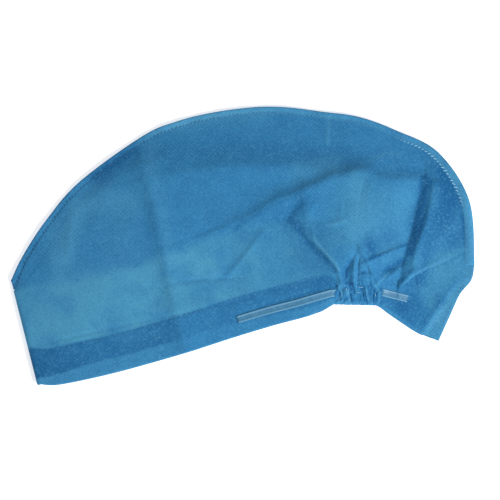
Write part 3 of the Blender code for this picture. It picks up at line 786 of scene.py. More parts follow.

# %% [markdown]
# ## Strokes of painted shade and highlight
#
# These soft strokes paint shade into the valleys of the folds and highlights onto their crests,
# more than the light alone gives, and darken a few seam lines. They add to the four numbers
# along the folds, or take away from them. The strokes of embossing only change how clear the
# embossing is.

# %% Stroke table
# painted shade and painted highlights along the folds, and strokes that change the embossing
SHADE_HIGHLIGHT_AND_EMBOSS_STROKES = {
    # amount, half width in mm, path in pixels, from the forehead to the nape
    HEM_AND_PAINTED_SHADE: (
        (0.3, 0.8, ((16, 290), (30, 276), (40, 262), (54, 238), (68, 215))),
        (0.25, 4, ((20, 308), (22, 322))),
        (0.35, 3, ((92, 176), (104, 167), (122, 156))),
        (0.8, 4.2, ((96, 177.5), (109, 167.5), (124, 157.5), (136, 150.5))),
        (0.16, 4.5, ((152, 205), (156, 230), (160, 255), (166, 285))),
        (0.28, 8, ((158, 152), (200, 150), (260, 150), (330, 158), (348, 162))),
        (0.3, 0.5, ((160, 283), (200, 279.5), (247, 277.7))),
        (0.25, 7, ((160, 304), (205, 296))),
        (0.2, 5, ((236, 289), (246, 292))),
        (0.3, 1.1, ((236, 228), (256, 215.5), (272.5, 205.2), (304, 191.5), (330, 178.5),
            (341, 175.5))),
        (0.2, 5, ((238, 226), (242, 236))),
        (0.22, 5, ((281, 212), (282, 222))),
        (0.22, 8, ((284, 226), (246, 244), (244, 262))),
        (0.55, 2.2, ((297, 226), (304, 239), (313, 248.5), (324, 259), (333, 269))),
        (0.6, 4.5, ((300, 205), (290, 217), (296, 225))),
        (0.14, 8, ((300, 254), (340, 264))),
        (0.12, 8, ((300, 158), (390, 160))),
        (0.25, 7, ((300, 236), (318, 226))),
        (0.2, 5, ((312, 157), (322, 156))),
        (0.22, 5, ((316, 266), (322, 270))),
        (0.35, 5, ((318, 284), (329, 284))),
        (0.22, 5, ((318, 228), (320, 250))),
        (0.75, 0.6, ((340, 289.5), (338.5, 296), (335, 301))),
        (0.7, 0.6, ((342.5, 286), (344, 293))),
        (0.6, 0.6, ((349.5, 294), (351.5, 299), (353.5, 302))),
        (0.45, 2.4, ((350, 260), (345.5, 268), (346, 280), (349, 286))),
        (0.1, 7, ((352, 276), (364, 280), (374, 290))),
        (0.7, 0.7, ((358, 272), (364, 271.5))),
        (0.2, 3, ((360, 276), (364, 282))),
        (0.7, 0.6, ((361, 288), (362.5, 293), (365, 301))),
        (0.4, 5, ((366, 238), (372, 252))),
        (0.6, 0.8, ((366, 261), (376, 256), (385, 252.5), (393, 249.3), (406, 244.6))),
        (0.4, 5, ((366, 244), (372, 254))),
        (0.6, 0.6, ((367, 290), (368.5, 298))),
        (0.75, 0.6, ((370, 285), (373.5, 290), (372.5, 296), (374, 301))),
        (0.75, 0.6, ((377, 289.5), (382, 295), (383, 301.5))),
        (0.3, 6, ((380, 272), (386, 280))),
        (0.45, 0.8, ((382, 270.5), (388, 267.5), (393, 265), (401, 261))),
        (0.35, 8, ((384, 240), (402, 258))),
        (0.4, 1.6, ((385, 269), (392, 264.5), (403, 259.5))),
        (0.32, 11, ((388, 212), (392, 240))),
        (0.28, 4, ((388, 270), (400, 262))),
        (-0.25, 4, ((394, 247), (398, 253))),
        (0.25, 4, ((394, 131), (404, 137))),
        (0.22, 4, ((398, 296), (402, 306))),
        (0.3, 4, ((400, 170), (420, 173), (428, 184))),
        (0.25, 0.8, ((405, 284), (412.5, 278), (426, 270), (445, 263), (465, 251.5))),
        (0.6, 5, ((407, 286), (418, 281))),
        (0.3, 3, ((411, 208), (408, 228))),
        (-0.3, 5, ((411, 240), (411, 262))),
        (0.26, 8, ((412, 300), (422, 318))),
        (0.95, 3.6, ((424, 182), (421, 200), (418, 220), (413, 240), (410, 252))),
        (0.15, 6, ((425, 238), (425, 262))),
        (0.45, 7, ((430, 218), (425, 252), (422, 272))),
        (0.36, 10, ((436, 290), (452, 280))),
        (0.2, 5, ((436, 306), (440, 316))),
        (0.28, 4, ((438, 298), (444, 304))),
        (0.14, 8, ((438, 150), (440, 205))),
        (0.5, 15, ((440, 150), (450, 190), (450, 245))),
        (0.46, 8, ((446, 172), (446, 235))),
        (0.45, 5, ((449, 166), (460, 198))),
        (0.3, 3, ((456, 176), (461, 186))),
        (0.5, 1.6, ((462, 214), (465, 230), (466, 245))),
        (0.28, 2.2, ((462, 276), (449, 291), (435, 308), (423, 322))),
        (0.16, 6, ((466, 228), (468, 255))),
    ),
    BAND_AND_PAINTED_LIGHT: (
        (0.45, 15, ((352, 205), (396, 205))),
        (0.4, 6, ((366, 236), (384, 246))),
        (0.4, 15, ((392, 222), (400, 244))),
        (0.15, 8, ((438, 150), (440, 205))),
        (0.6, 14, ((440, 272), (440, 296))),
        (0.6, 14, ((444, 190), (446, 255))),
    ),
    PALE_AND_PAINTED_HIGHLIGHT: (
        (0.25, 7, ((56, 228), (54, 276))),
        (0.25, 6, ((66, 280), (88, 274))),
        (0.45, 6, ((77, 208), (70, 234), (66, 260))),
        (0.15, 14, ((90, 215), (120, 215), (125, 260))),
        (0.28, 9, ((98, 200), (132, 200))),
        (0.15, 5, ((122, 338), (158, 332))),
        (0.22, 5, ((149, 150), (153, 180), (162, 215), (170, 262))),
        (0.3, 5, ((178, 126), (220, 117), (262, 115))),
        (0.3, 8, ((300, 172), (330, 166))),
        (0.75, 0.9, ((313, 239), (321, 248.5), (328, 256.5), (334, 263), (337.5, 270))),
        (0.45, 0.8, ((326, 226), (336, 224), (345, 220))),
        (0.28, 1.5, ((329, 117), (328, 130), (327, 143))),
        (0.3, 3, ((338, 283), (342, 290))),
        (0.6, 0.6, ((341, 288), (340.5, 295), (337.5, 301))),
        (0.6, 0.6, ((347, 287), (347.5, 294), (348.5, 301))),
        (0.45, 7, ((356, 180), (358, 205), (352, 235))),
        (0.55, 0.6, ((358.8, 254.5), (356.8, 276), (355.6, 290))),
        (0.55, 0.6, ((365, 288), (366, 295), (369.5, 301))),
        (0.22, 1.8, ((374, 158), (386, 153.5), (398, 155))),
        (0.6, 0.7, ((374, 286), (381, 280), (388, 273.5))),
        (0.6, 0.6, ((375.5, 287), (379, 293), (378.5, 301))),
        (0.35, 0.9, ((376, 254), (386, 250.5), (394, 247.5))),
        (0.4, 0.7, ((402, 284), (411, 276), (425, 268), (444, 260.5), (464, 249.5))),
        (0.15, 5, ((438, 242), (452, 226))),
        (0.35, 1.0, ((467, 279), (454, 296), (440, 313), (427, 329))),
    ),
    EMBOSSED: (
        (0.5, 7, ((44, 352), (110, 338), (172, 324))),
        (0.6, 8, ((196, 312), (240, 300))),
        (-0.75, 14, ((200, 195), (240, 190))),
        (-0.6, 12, ((385, 200), (390, 235))),
        (-0.6, 16, ((445, 190), (445, 260))),
    ),
}
print("strokes of tone:", sum(len(rows) for rows in SHADE_HIGHLIGHT_AND_EMBOSS_STROKES.values()))

# %% [markdown]
# ## Reading the layers and the strokes
#
# Soft steps at the top of each layer keep its edge from looking cut out. Noise breaks up the
# band, because the lining touches the cloth in some places only.

# %% Layer helper
HEM_BLUR = ((0, 11.3, 12.5), (2.2, 2.2, 12))
# the welded rim is paler than the panel, and this paleness is also painted light: none toward the
# forehead, where the rim lies in shade, and more where it is lit
PALE_AND_LIT_RIM = ((0, 3.8, 4.3, 9.0, 11.0, 12.5, 15), (0.0, 0.0, 0.6, 0.4, 0.2, 0.6, 0.3))


def patch_strength(half_width, pixels, points):
    path = seen(pixels)
    nearest = np.full(points.shape[:-1], 1e9)
    for origin, end in zip(path[:-1], path[1:]):
        run = end - origin
        part = np.clip((points - origin) @ run / (run @ run), 0, 1)
        away = np.linalg.norm(points - origin - part[..., None] * run, axis=-1)
        nearest = np.minimum(nearest, away)
    return np.exp(-((nearest / (half_width * MM)) ** 2))


def layer_and_painted_light_tones(points, place, height, near):
    """Band, hem, pale and embossing numbers for each point of the outer cloth, with painted shade and
    highlights on the near side.
    """
    table = np.array(LAYERS)
    band, hem, strip, band_depth, hem_depth, strip_depth = (
        np.interp(place, table[:, 0], table[:, number])[:, None] for number in range(1, 7)
    )
    level = height / MM + 0.3 * np.sin(place * 2.3)[:, None]
    blotch = noise_field(points[..., :2], 16 * MM, 2.2)
    fine = noise_field(points[..., :2], 6 * MM, 4.4)
    hem_blur = np.interp(place, *HEM_BLUR)[:, None]
    over_hem = ease((level - hem) / hem_blur + 0.5)
    over_strip = ease((level - strip) / 1.8 + 0.5)
    over_band = ease((level - band + 5 * blotch + 3 * fine) / 9 + 0.5)
    flange = ease((height - line_lengths(place)) / (0.8 * MM))
    pale_and_lit_rim = np.interp(place, *PALE_AND_LIT_RIM)[:, None]
    tones = np.zeros(points.shape[:2] + (4,))
    band_cover = band_depth * (0.9 + 0.7 * blotch + 0.4 * fine)
    tones[..., BAND_AND_PAINTED_LIGHT] = over_hem * (1 - over_band) * (1 - flange) * band_cover
    tones[..., HEM_AND_PAINTED_SHADE] = (1 - over_hem) * over_strip * hem_depth * (1 + 0.3 * fine)
    tones[..., PALE_AND_PAINTED_HIGHLIGHT] = (1 - over_strip) * strip_depth + flange * pale_and_lit_rim
    tones[..., EMBOSSED] = (1 - 0.8 * tones[..., BAND_AND_PAINTED_LIGHT]) * (0.75 + 0.5 * blotch)
    flap_share = ease(np.clip(place - LAST, 0, 1) * 4)[:, None]
    for number, amount in FLAP_TONES.items():
        tones[..., number] = mix(tones[..., number], amount, flap_share)
    if near:
        # strokes of painted shade and highlight, and of embossing, on the near side only
        for number, rows in SHADE_HIGHLIGHT_AND_EMBOSS_STROKES.items():
            for amount, half_width, pixels in rows:
                tones[..., number] += amount * patch_strength(half_width, pixels, points[..., :2])
    return np.clip(tones, 0, 1)


# %% [markdown]
# ## The cap's cloth
#
# The rows of the turned-up hem and of its bend sit inside the panel, so each is moved inwards
# from it. The map's second value is the height above the hem, and it is negative on the
# turn-up, which tells the finish which layer a point belongs to.

# %% Cap cloth
MAP_SCALE = 5.0


def cloth_map(height):
    """Map over all columns: the place across the cloth, and the height above the hem."""
    across = np.tile(PLACES[:, None] / (LAST + 1), (1, height.shape[1]))
    return np.dstack([across, height * MAP_SCALE])


def cap_cloth():
    count = len(LENGTHS)
    leaf = np.linspace(HEM_TURN_UP, HEM_BEND, LEAF_ROWS)
    bend = np.arange(BEND_STEPS - 1, 0, -1) * math.pi / BEND_STEPS
    heights = np.concatenate([leaf, HEM_BEND * (1 - np.sin(bend))])
    depths = np.concatenate([np.full(LEAF_ROWS, 2 * HEM_BEND), HEM_BEND * (1 - np.cos(bend))])
    inner = np.tile(heights, (count, 1))
    inner_points = cloth_points(inner, False) + inward(inner) * depths[None, :, None]
    outer = outer_heights(LENGTHS, OUTER_ROWS)
    outer_points = cloth_points(outer, True)
    points = np.concatenate([inner_points, outer_points], axis=1)
    flange = LENGTHS[:, None] + np.array(FLANGE_SHARES)[None, :] * SEAM_WIDTH
    up = np.concatenate([-inner, outer, flange], axis=1)
    near = PLACES >= 0
    tones = np.concatenate([
        layer_and_painted_light_tones(points[~near], -PLACES[~near], np.abs(up[~near]), False),
        layer_and_painted_light_tones(points[near], PLACES[near], np.abs(up[near]), True),
    ])
    return sheet_piece("cap_cloth", points, cloth_map(up), CLOTH, tones)


CAP = cap_cloth()

# %% [markdown]
# ## The sweatband
#
# A smooth pale strip lies inside the cap, above the turned-up hem. It makes the blue cloth over
# it look lighter. It has the same folds as the panel that it is behind.

# %% Sweatband
BAND_END = 12.0
BAND_ROWS = 22
BAND_DEPTH = 1.25 * MM
BAND_FOOT = HEM_TURN_UP + 0.5 * MM
BAND_MOST = 0.88


def sweatband():
    """The lining inside the cloth. Near the nape it is never taller than most of a line."""
    top = np.minimum(BAND_TOP, BAND_MOST * LENGTHS)
    height = mix(BAND_FOOT, top[:, None], np.linspace(0, 1, BAND_ROWS)[None, :])
    points = cloth_points(height, False) + inward(height) * BAND_DEPTH
    kept = np.abs(PLACES) <= BAND_END
    return sheet_piece("sweatband_lining", points[kept], cloth_map(height)[kept], CLOTH)


BAND = sweatband()

# %% [markdown]
# ## The seam's inner layer
#
# Between the two rims of the panels the seam holds a narrow strip, where their edges are welded
# together. It shows from the side as the middle layer of the edge.

# %% Seam strip
STRIP_SHARES = (0.08, 0.5, 0.97)
STRIP_THICKNESS = 0.25 * MM


def strip_rows(inner, outer, level, wave):
    rows = [np.column_stack([mix(inner, outer, share), level + wave * share]) for share in STRIP_SHARES]
    return np.stack(rows, axis=1)


def seam_strip():
    place = NEAR_COLUMNS[NEAR_COLUMNS <= LAST]
    outline = through(OUTLINE, place)
    crown = strip_rows(crown_edge(place), outline, seam_level(place), seam_wave(place))
    back = strip_rows(*back_edges(np.linspace(0, 1, 24)[1:]), 0)
    points = np.concatenate([crown, back])
    along, across = np.meshgrid(np.linspace(0, 1, len(points)), np.linspace(0, 1, 3), indexing="ij")
    return sheet_piece("seam_strip", points, np.dstack([along, across]), STRIP_THICKNESS)


SEAM = seam_strip()

# %% [markdown]
# ## The elastic tapes
#
# The elastic is a flat clear tape with a thicker rib along each edge. Its two ends lie free on
# the cloth, and the middle is sewn down and half hidden by the puckers. The section is a short
# list of offsets, so the ribs are real shape and catch the light.

# %% Elastic tapes
TAPE_RUN = (
    # place, height above the hem in mm, turning where the hem turns
    (5.27, 10.0), (6.70, 9.9), (7.00, 10.0), (7.50, 9.6), (8.00, 7.5), (9.50, 7.8), (10.50, 9.4),
    (11.00, 12.7), (12.12, 15.9),
)
TAPE_SECTION = (
    # share of the width, height in mm
    (-0.50, 0.06), (-0.46, 0.22), (-0.39, 0.26), (-0.33, 0.14), (-0.25, 0.05), (-0.08, 0.03),
    (0.08, 0.03), (0.25, 0.05), (0.33, 0.14), (0.39, 0.26), (0.46, 0.22), (0.50, 0.06),
)
TAPE_STEPS = 240
TAPE_SHOWN_WIDTH = 4.7 * MM
TAPE_FILM = 0.22 * MM
SEWN_FROM = 8.13
SEWN_TO = 10.75
FREE_LIFT = 0.50
SEWN_LIFT = -0.95
FAR_LIFT = 0.62
SMOOTHINGS = 6


def tape(name, far):
    """Tape on one panel. Its middle line is smoothed, because elastic doesn't follow creases."""
    run = np.array(TAPE_RUN)
    part = np.linspace(0, len(run) - 1, TAPE_STEPS)
    place = np.interp(part, np.arange(len(run)), run[:, 0])
    up = np.interp(part, np.arange(len(run)), run[:, 1]) * MM
    rows = up[:, None] + np.array([[-2.0, 0.0, 2.0]]) * MM
    cloth = lower_panel(place, rows) if far else upper_panel(place, rows, True, False)
    middle = cloth[:, 1]
    for smoothing in range(SMOOTHINGS):
        inner = (middle[:-2] + 2 * middle[1:-1] + middle[2:]) / 4
        middle = np.concatenate([middle[:1], inner, middle[-1:]])
    along = np.gradient(middle, axis=0)
    along = along / np.linalg.norm(along, axis=-1, keepdims=True)
    normal = np.cross(along, cloth[:, 2] - cloth[:, 0])
    normal = normal / np.linalg.norm(normal, axis=-1, keepdims=True)
    normal = normal * np.where((normal[:, 2:3] > 0) == (not far), 1, -1)
    side = np.cross(normal, along)
    sewn = ease((place - SEWN_FROM) * 5) * ease((SEWN_TO - place) * 5)
    lift = np.full(len(place), FAR_LIFT * MM) if far else mix(FREE_LIFT, SEWN_LIFT, sewn) * MM
    columns = []
    for across, high in TAPE_SECTION:
        out = side * across * TAPE_SHOWN_WIDTH
        columns.append(middle + out + normal * (lift + high * MM)[:, None])
    sections = np.array([across + 0.5 for across, high in TAPE_SECTION])
    distance, share = np.meshgrid(run_length(middle) * MAP_SCALE, sections, indexing="ij")
    return sheet_piece(name, np.stack(columns, axis=1), np.dstack([distance, share]), TAPE_FILM)


NEAR_TAPE = tape("near_tape", False)
FAR_TAPE = tape("far_tape", True)

# %% [markdown]
# ## Stitches
#
# One stitch is a small capsule, made from a sphere that is stretched along the thread. It is
# copied along a path at a steady pitch, and each copy is turned to follow the path. All
# stitches of a seam become one piece.

# %% Stitch helper


def row_of_stitches(name, path, pitch, length, radius, slant, wild):
    """Capsules along a path, turned by slant and, each its own way, by up to wild radians."""
    distance = run_length(path)
    count = int(distance[-1] / pitch)

    def on_path(at):
        return np.array([np.interp(at, distance, path[:, axis]) for axis in range(3)])

    bpy.ops.mesh.primitive_uv_sphere_add(segments=8, ring_count=6, radius=1)
    ball = bpy.context.object
    shape = np.array([vertex.co for vertex in ball.data.vertices])
    faces = [list(face.vertices) for face in ball.data.polygons]
    bpy.data.objects.remove(ball, do_unlink=True)
    vertices = []
    polygons = []
    for index in range(count):
        at = pitch * (index + 0.5)
        centre = on_path(at)
        ahead = on_path(at + 0.4 * pitch)
        along = (ahead - centre) / np.linalg.norm(ahead - centre)
        turn = slant + wild * math.sin(index * 2.3)
        side = np.cross((0, 0, 1), along)
        side = side / np.linalg.norm(side)
        forward = along * math.cos(turn) + side * math.sin(turn)
        across = np.cross((0, 0, 1), forward)
        across = across / np.linalg.norm(across)
        up = np.cross(forward, across)
        half = length / 2 * (1 + 1.6 * wild * math.sin(index * 1.3))
        placed = (shape[:, :1] * forward * half + shape[:, 1:2] * across * radius
                  + shape[:, 2:] * up * radius * 0.7 + centre)
        polygons += [[corner + len(vertices) * len(shape) for corner in face] for face in faces]
        vertices.append(placed)
    mesh = bpy.data.meshes.new(name)
    placed = np.concatenate(vertices) - np.array([MIDDLE[0], MIDDLE[1], 0])
    mesh.from_pydata(placed.tolist(), [], polygons)
    piece = bpy.data.objects.new(name, mesh)
    bpy.context.collection.objects.link(piece)
    mesh.shade_smooth()
    print(name, "has", count, "stitches")
    return piece


# %% [markdown]
# ## Where the stitches run
#
# The crown and the back have a row beside the welded edge. The turned-up hem has a row along its
# top. The elastic shows only a few short threads, where it is sewn down between the puckers.

# %% Stitches of the seam, the hem and the elastic


def crown_stitch_path():
    place = np.linspace(0.12, LAST, 700)
    start = flange_rows(place, rims(place)[0], False)[:, 0]
    start[:, 2] += 0.20 * MM
    return start


def back_stitch_path():
    steps = np.linspace(0.03, 0.97, 60)
    inner, outer, level = back_edges(steps)
    toward = (inner - outer) / np.linalg.norm(inner - outer, axis=-1, keepdims=True)
    line = outer + toward * mix(3.6, 2.0, steps)[:, None] * MM
    return np.column_stack([line, level + 0.55 * MM])


def hem_stitch_path():
    place = np.linspace(0.05, 7.6, 500)
    points = upper_panel(place, np.full((500, 1), HEM_TURN_UP - 0.8 * MM), True, True)[:, 0]
    points[:, 2] += CLOTH / 2 - 0.02 * MM
    return points


def panel_height_at(pixels):
    """Upper panel's points nearest to places in the photograph."""
    places = np.linspace(7.8, 11.4, 200)
    heights = np.tile(np.linspace(0, 30, 120) * MM, (200, 1))
    surface = upper_panel(places, heights, True, True).reshape(-1, 3)
    wanted = seen(pixels)
    return np.array([surface[np.argmin(np.hypot(*(surface[:, :2] - spot).T))] for spot in wanted])


GLINT_LIFT = 0.50 * MM
GLINT_RADIUS = 0.18 * MM
GLINTS = (
    # from and to in pixels
    ((342, 292.5), (347.5, 292.3)), ((355, 292.6), (359.5, 292.3)), ((357, 287.2), (363, 287)),
    ((345, 287.5), (345.3, 290.5)), ((374, 293), (374.6, 296.5)),
)


def tape_stitches():
    """Short pale threads that show where the elastic is sewn down."""
    ends = panel_height_at([spot for glint in GLINTS for spot in glint]).reshape(-1, 2, 3)
    made = []
    for number, (start, end) in enumerate(ends):
        start[2] = end[2] = max(start[2], end[2]) + GLINT_LIFT
        reach = np.linalg.norm(end - start)
        path = np.stack([start, start + (end - start) * 1.001])
        made.append(row_of_stitches(f"glint_{number}", path, reach, reach, GLINT_RADIUS, 0.0, 0.0))
    bpy.ops.object.select_all(action="DESELECT")
    for piece in made:
        piece.select_set(True)
    bpy.context.view_layer.objects.active = made[0]
    bpy.ops.object.join()
    made[0].name = made[0].data.name = "tape_stitches"
    return made[0]


CROWN_STITCHES, BACK_STITCHES, HEM_STITCHES = (
    row_of_stitches(name, path, pitch * MM, length * MM, radius * MM, slant, wild)
    for name, path, pitch, length, radius, slant, wild in (
        # pitch, length and radius in mm, slant and wildness in radians
        ("crown_stitches", crown_stitch_path(), 2.5, 2.3, 0.27, 0.8, 0.25),
        ("back_stitches", back_stitch_path(), 2.4, 1.3, 0.24, 0.4, 0.3),
        ("hem_stitches", hem_stitch_path(), 3.4, 2.0, 0.22, 0.05, 0.12),
    )
)
TAPE_STITCHES = tape_stitches()

# %% [markdown]
# ## Finishes
#
# Shader maths is easier to read as sums than as boxes and wires. This small class wraps one
# output of a shader node and turns Python's own operators into Math nodes. Colours are mixed
# with Mix nodes, because a Math node would turn them grey.

# %% Shader helper


class Wire:
    """One output of a shader node, which can be used in sums."""

    def __init__(self, tree, socket):
        self.tree = tree
        self.socket = socket

    def node(self, kind, settings=None, values=None, output=0):
        made = self.tree.nodes.new(kind)
        for name, value in (settings or {}).items():
            setattr(made, name, value)
        for name, value in (values or {}).items():
            plug(self.tree, made.inputs[name], value)
        return Wire(self.tree, made.outputs[output])

    def maths(self, operation, first, second=0.0):
        return self.node("ShaderNodeMath", {"operation": operation}, {0: first, 1: second})

    def __add__(self, other):
        return self.maths("ADD", self, other)

    def __radd__(self, other):
        return self.maths("ADD", other, self)

    def __sub__(self, other):
        return self.maths("SUBTRACT", self, other)

    def __rsub__(self, other):
        return self.maths("SUBTRACT", other, self)

    def __mul__(self, other):
        return self.maths("MULTIPLY", self, other)

    def __rmul__(self, other):
        return self.maths("MULTIPLY", other, self)

    def __truediv__(self, other):
        return self.maths("DIVIDE", self, other)

    def sine(self):
        return self.maths("SINE", self)

    def distance(self):
        return self.maths("ABSOLUTE", self)

    def step(self, low, high):
        """Zero below low to one above high, with soft ends."""
        return self.node(
            "ShaderNodeMapRange",
            {"interpolation_type": "SMOOTHSTEP", "clamp": True},
            {"Value": self, "From Min": low, "From Max": high},
        )


def plug(tree, socket, value):
    if isinstance(value, Wire):
        tree.links.new(value.socket, socket)
    else:
        socket.default_value = value


def blend_colours(first, second, share):
    """Colour between first and second, where share is a wire."""
    return share.node(
        "ShaderNodeMix", {"data_type": "RGBA"}, {"Factor": share, 6: first, 7: second}, output=2
    )


def layered(colour, layers):
    """Lay each colour over those before it, by its share."""
    for over, share in layers:
        colour = blend_colours(colour, over, share)
    return colour


def paint(red, green, blue):
    """Screen colour from 0 to 255 as the linear colour that a shader takes."""
    values = [value / 255 for value in (red, green, blue)]
    return tuple(v / 12.92 if v < 0.04045 else ((v + 0.055) / 1.055) ** 2.4 for v in values) + (1.0,)


def new_finish(name):
    """An empty material, with wires for its map and for places in space."""
    made = bpy.data.materials.new(name)
    made.use_nodes = True
    tree = made.node_tree
    place = tree.nodes.new("ShaderNodeTexCoord")
    return made, Wire(tree, place.outputs["UV"]), Wire(tree, place.outputs["Object"])


def parts_of(wire):
    made = wire.tree.nodes.new("ShaderNodeSeparateXYZ")
    wire.tree.links.new(wire.socket, made.inputs[0])
    return [Wire(wire.tree, output) for output in made.outputs]


def cloudy(where, size, detail):
    """Noise with clouds of a size in metres."""
    return where.node(
        "ShaderNodeTexNoise",
        {"noise_dimensions": "3D"},
        {"Vector": where, "Scale": 1 / size, "Detail": detail, "Roughness": 0.55},
    )


def complete(made, colour, settings, relief=None, depth=0.0):
    """Give a material its colour, its fixed settings and a relief of a depth in metres."""
    tree = made.node_tree
    shader = tree.nodes["Principled BSDF"]
    tree.links.new(colour.socket, shader.inputs["Base Color"])
    for name, value in settings.items():
        shader.inputs[name].default_value = value
    if relief is not None:
        bump = tree.nodes.new("ShaderNodeBump")
        bump.inputs["Strength"].default_value = 1.0
        bump.inputs["Distance"].default_value = depth
        tree.links.new(relief.socket, bump.inputs["Height"])
        tree.links.new(bump.outputs[0], shader.inputs["Normal"])
    return made


# %% [markdown]
# ## Non-woven cloth
#
# Spunbonded cloth is a felt of hair-thin threads, welded together at small diamonds. Two waves
# at right angles make the diamonds. Clouds of thicker and thinner felt change the colour a
# little. How many layers lie behind a place changes it more: the single layer at the lower edge
# is paler, the turned-up hem is darker, and over the sweatband the blue is pale and greenish.
# The same colours also paint shade into the folds and highlights onto their crests.

# %% Cap cloth finish
EMBOSS = 1.28 * MM
BODY = paint(51, 126, 175)
BODY_DEEP = paint(47, 120, 169)
# the hem colour is also the painted shade of the folds, and the pale and band colours are also their
# painted highlights and painted light
HEM_AND_SHADE_COLOUR = paint(22, 90, 140)
PALE_AND_HIGHLIGHT_COLOUR = paint(82, 156, 194)
BAND_AND_LIGHT_COLOUR = paint(72, 146, 182)
INSIDE = paint(70, 138, 178)


def cloth_finish():
    made, chart, space = new_finish("nonwoven_cloth")
    tone = space.node("ShaderNodeAttribute", {"attribute_name": "tone"})
    # band, hem and pale also hold the painted shade, highlights and light of the strokes
    band, hem, pale = parts_of(tone)
    embossed = Wire(space.tree, tone.socket.node.outputs["Alpha"])
    turned_space = space.node(
        "ShaderNodeMapping", {}, {"Vector": space, "Rotation": (0, 0, HEM_TURN)}
    )
    x, y, z = parts_of(turned_space)
    height = parts_of(chart)[1] / MAP_SCALE
    inside = height.step(-0.1 * MM, -0.6 * MM)
    diamonds = (x * (math.pi / EMBOSS)).sine() * (y * (math.pi / EMBOSS)).sine()
    clouds = cloudy(space, 11 * MM, 3.0)
    broad = cloudy(space, 60 * MM, 2.0)
    flecks = cloudy(space, 1.7 * MM, 2.0)
    threads = cloudy(space, 0.8 * MM, 4.0)
    worn = cloudy(space, 4 * MM, 2.0).step(0.30, 0.62)
    dots = (diamonds * 0.5 + 0.5).step(0.50, 0.95) * embossed * worn
    flecked = hem * 0.10 + 0.15
    body = blend_colours(BODY_DEEP, BODY, clouds.step(0.35, 0.65))
    colour = layered(body, (
        (BAND_AND_LIGHT_COLOUR, band),
        (HEM_AND_SHADE_COLOUR, hem),
        (PALE_AND_HIGHLIGHT_COLOUR, pale),
        (INSIDE, inside),
        (paint(20, 84, 138), dots * 0.42),
        (paint(104, 174, 212), threads.step(0.50, 0.70) * 0.20),
        (paint(26, 94, 148), threads.step(0.50, 0.32) * 0.25),
        (paint(34, 100, 152), broad.step(0.50, 0.74) * 0.10),
        (paint(88, 160, 200), flecks.step(0.51, 0.68) * flecked),
        (paint(24, 92, 146), flecks.step(0.49, 0.32) * flecked),
    ))
    relief = threads * 0.5 - dots * 0.55 + clouds * 0.4
    return complete(made, colour, {"Roughness": 0.82, "Specular IOR Level": 0.12}, relief, 0.16 * MM)


CLOTH_FINISH = cloth_finish()

# %% [markdown]
# ## Lining, seam, tape and thread
#
# The lining is a smoother pale felt. The tape is a clear rubbery film whose ribs look whiter,
# so its colour follows the map across the tape. The crown's thread is dark at the forehead,
# where it is sunk in the cloth, and painted pale at the back as a glint of light on it.

# %% Other finishes


def felt_finish(name, dark, light, cloud, roughness, grain, detail):
    """Felt with clouds of two close colours and a fine grain."""
    made, chart, space = new_finish(name)
    colour = blend_colours(dark, light, cloudy(space, cloud, 3.0).step(0.3, 0.7))
    return complete(made, colour, {"Roughness": roughness}, cloudy(space, grain, detail), 0.08 * MM)


def tape_finish():
    made, chart, space = new_finish("clear_elastic")
    along, across, unused = parts_of(chart)
    from_middle = (across - 0.5).distance()
    rib = from_middle.step(0.24, 0.34) * (1 - from_middle.step(0.45, 0.50) * 0.5)
    strands = ((across * 60).sine() * 0.5 + 0.5) * 0.25
    cross_ribs = (along * (2 * math.pi / (MAP_SCALE * 0.9 * MM))).sine() * 0.5 + 0.5
    mottle = cloudy(space, 2.2 * MM, 2.0)
    film = blend_colours(paint(38, 104, 144), paint(54, 120, 156), mottle.step(0.35, 0.7))
    colour = layered(film, (
        (paint(104, 162, 196), rib * 0.60),
        (paint(82, 144, 178), cross_ribs * 0.10 + strands * 0.55),
    ))
    settings = {"Roughness": 0.5, "Coat Weight": 0.06}
    return complete(made, colour, settings, cross_ribs * 0.6 + mottle * 0.4, 0.10 * MM)


def thread_finish(name, front, middle, back):
    """Thread with one colour at the forehead, one at the top and one behind the crown."""
    made, chart, space = new_finish(name)
    x, y, z = parts_of(space)
    top = blend_colours(front, middle, x.step(-0.02, 0.04))
    colour = blend_colours(top, back, x.step(0.112, 0.125) * y.step(-0.014, -0.002))
    return complete(made, colour, {"Roughness": 0.6}, cloudy(space, 0.4 * MM, 1.0), 0.05 * MM)


LINING_FINISH = felt_finish(
    "smooth_lining", paint(118, 176, 204), paint(146, 198, 220), 6 * MM, 0.8, 0.8 * MM, 3.0
)
SEAM_FINISH = felt_finish(
    "welded_edge", paint(60, 130, 176), paint(84, 152, 192), 4 * MM, 0.7, 0.7 * MM, 2.0
)
TAPE_FINISH = tape_finish()
CROWN_THREAD_AND_GLINT, BACK_THREAD, HEM_THREAD, TAPE_THREAD = (
    thread_finish(name, *(paint(*colour) for colour in colours))
    for name, colours in (
        # the pale third colour of the crown thread is a painted glint of light
        ("crown_thread_painted_glint", ((26, 88, 138), (52, 122, 168), (158, 204, 224))),
        ("back_thread", ((34, 100, 150), (46, 112, 158), (60, 128, 172))),
        ("hem_thread", ((24, 84, 136), (40, 104, 154), (40, 104, 154))),
        ("tape_thread", ((134, 186, 214),) * 3),
    )
)
print("finishes:", [made.name for made in bpy.data.materials])

# %% [markdown]
# ## Putting the pieces on the frame
#
# Each piece takes its finish, rides on the cap's one body and stands for its CAD solid.

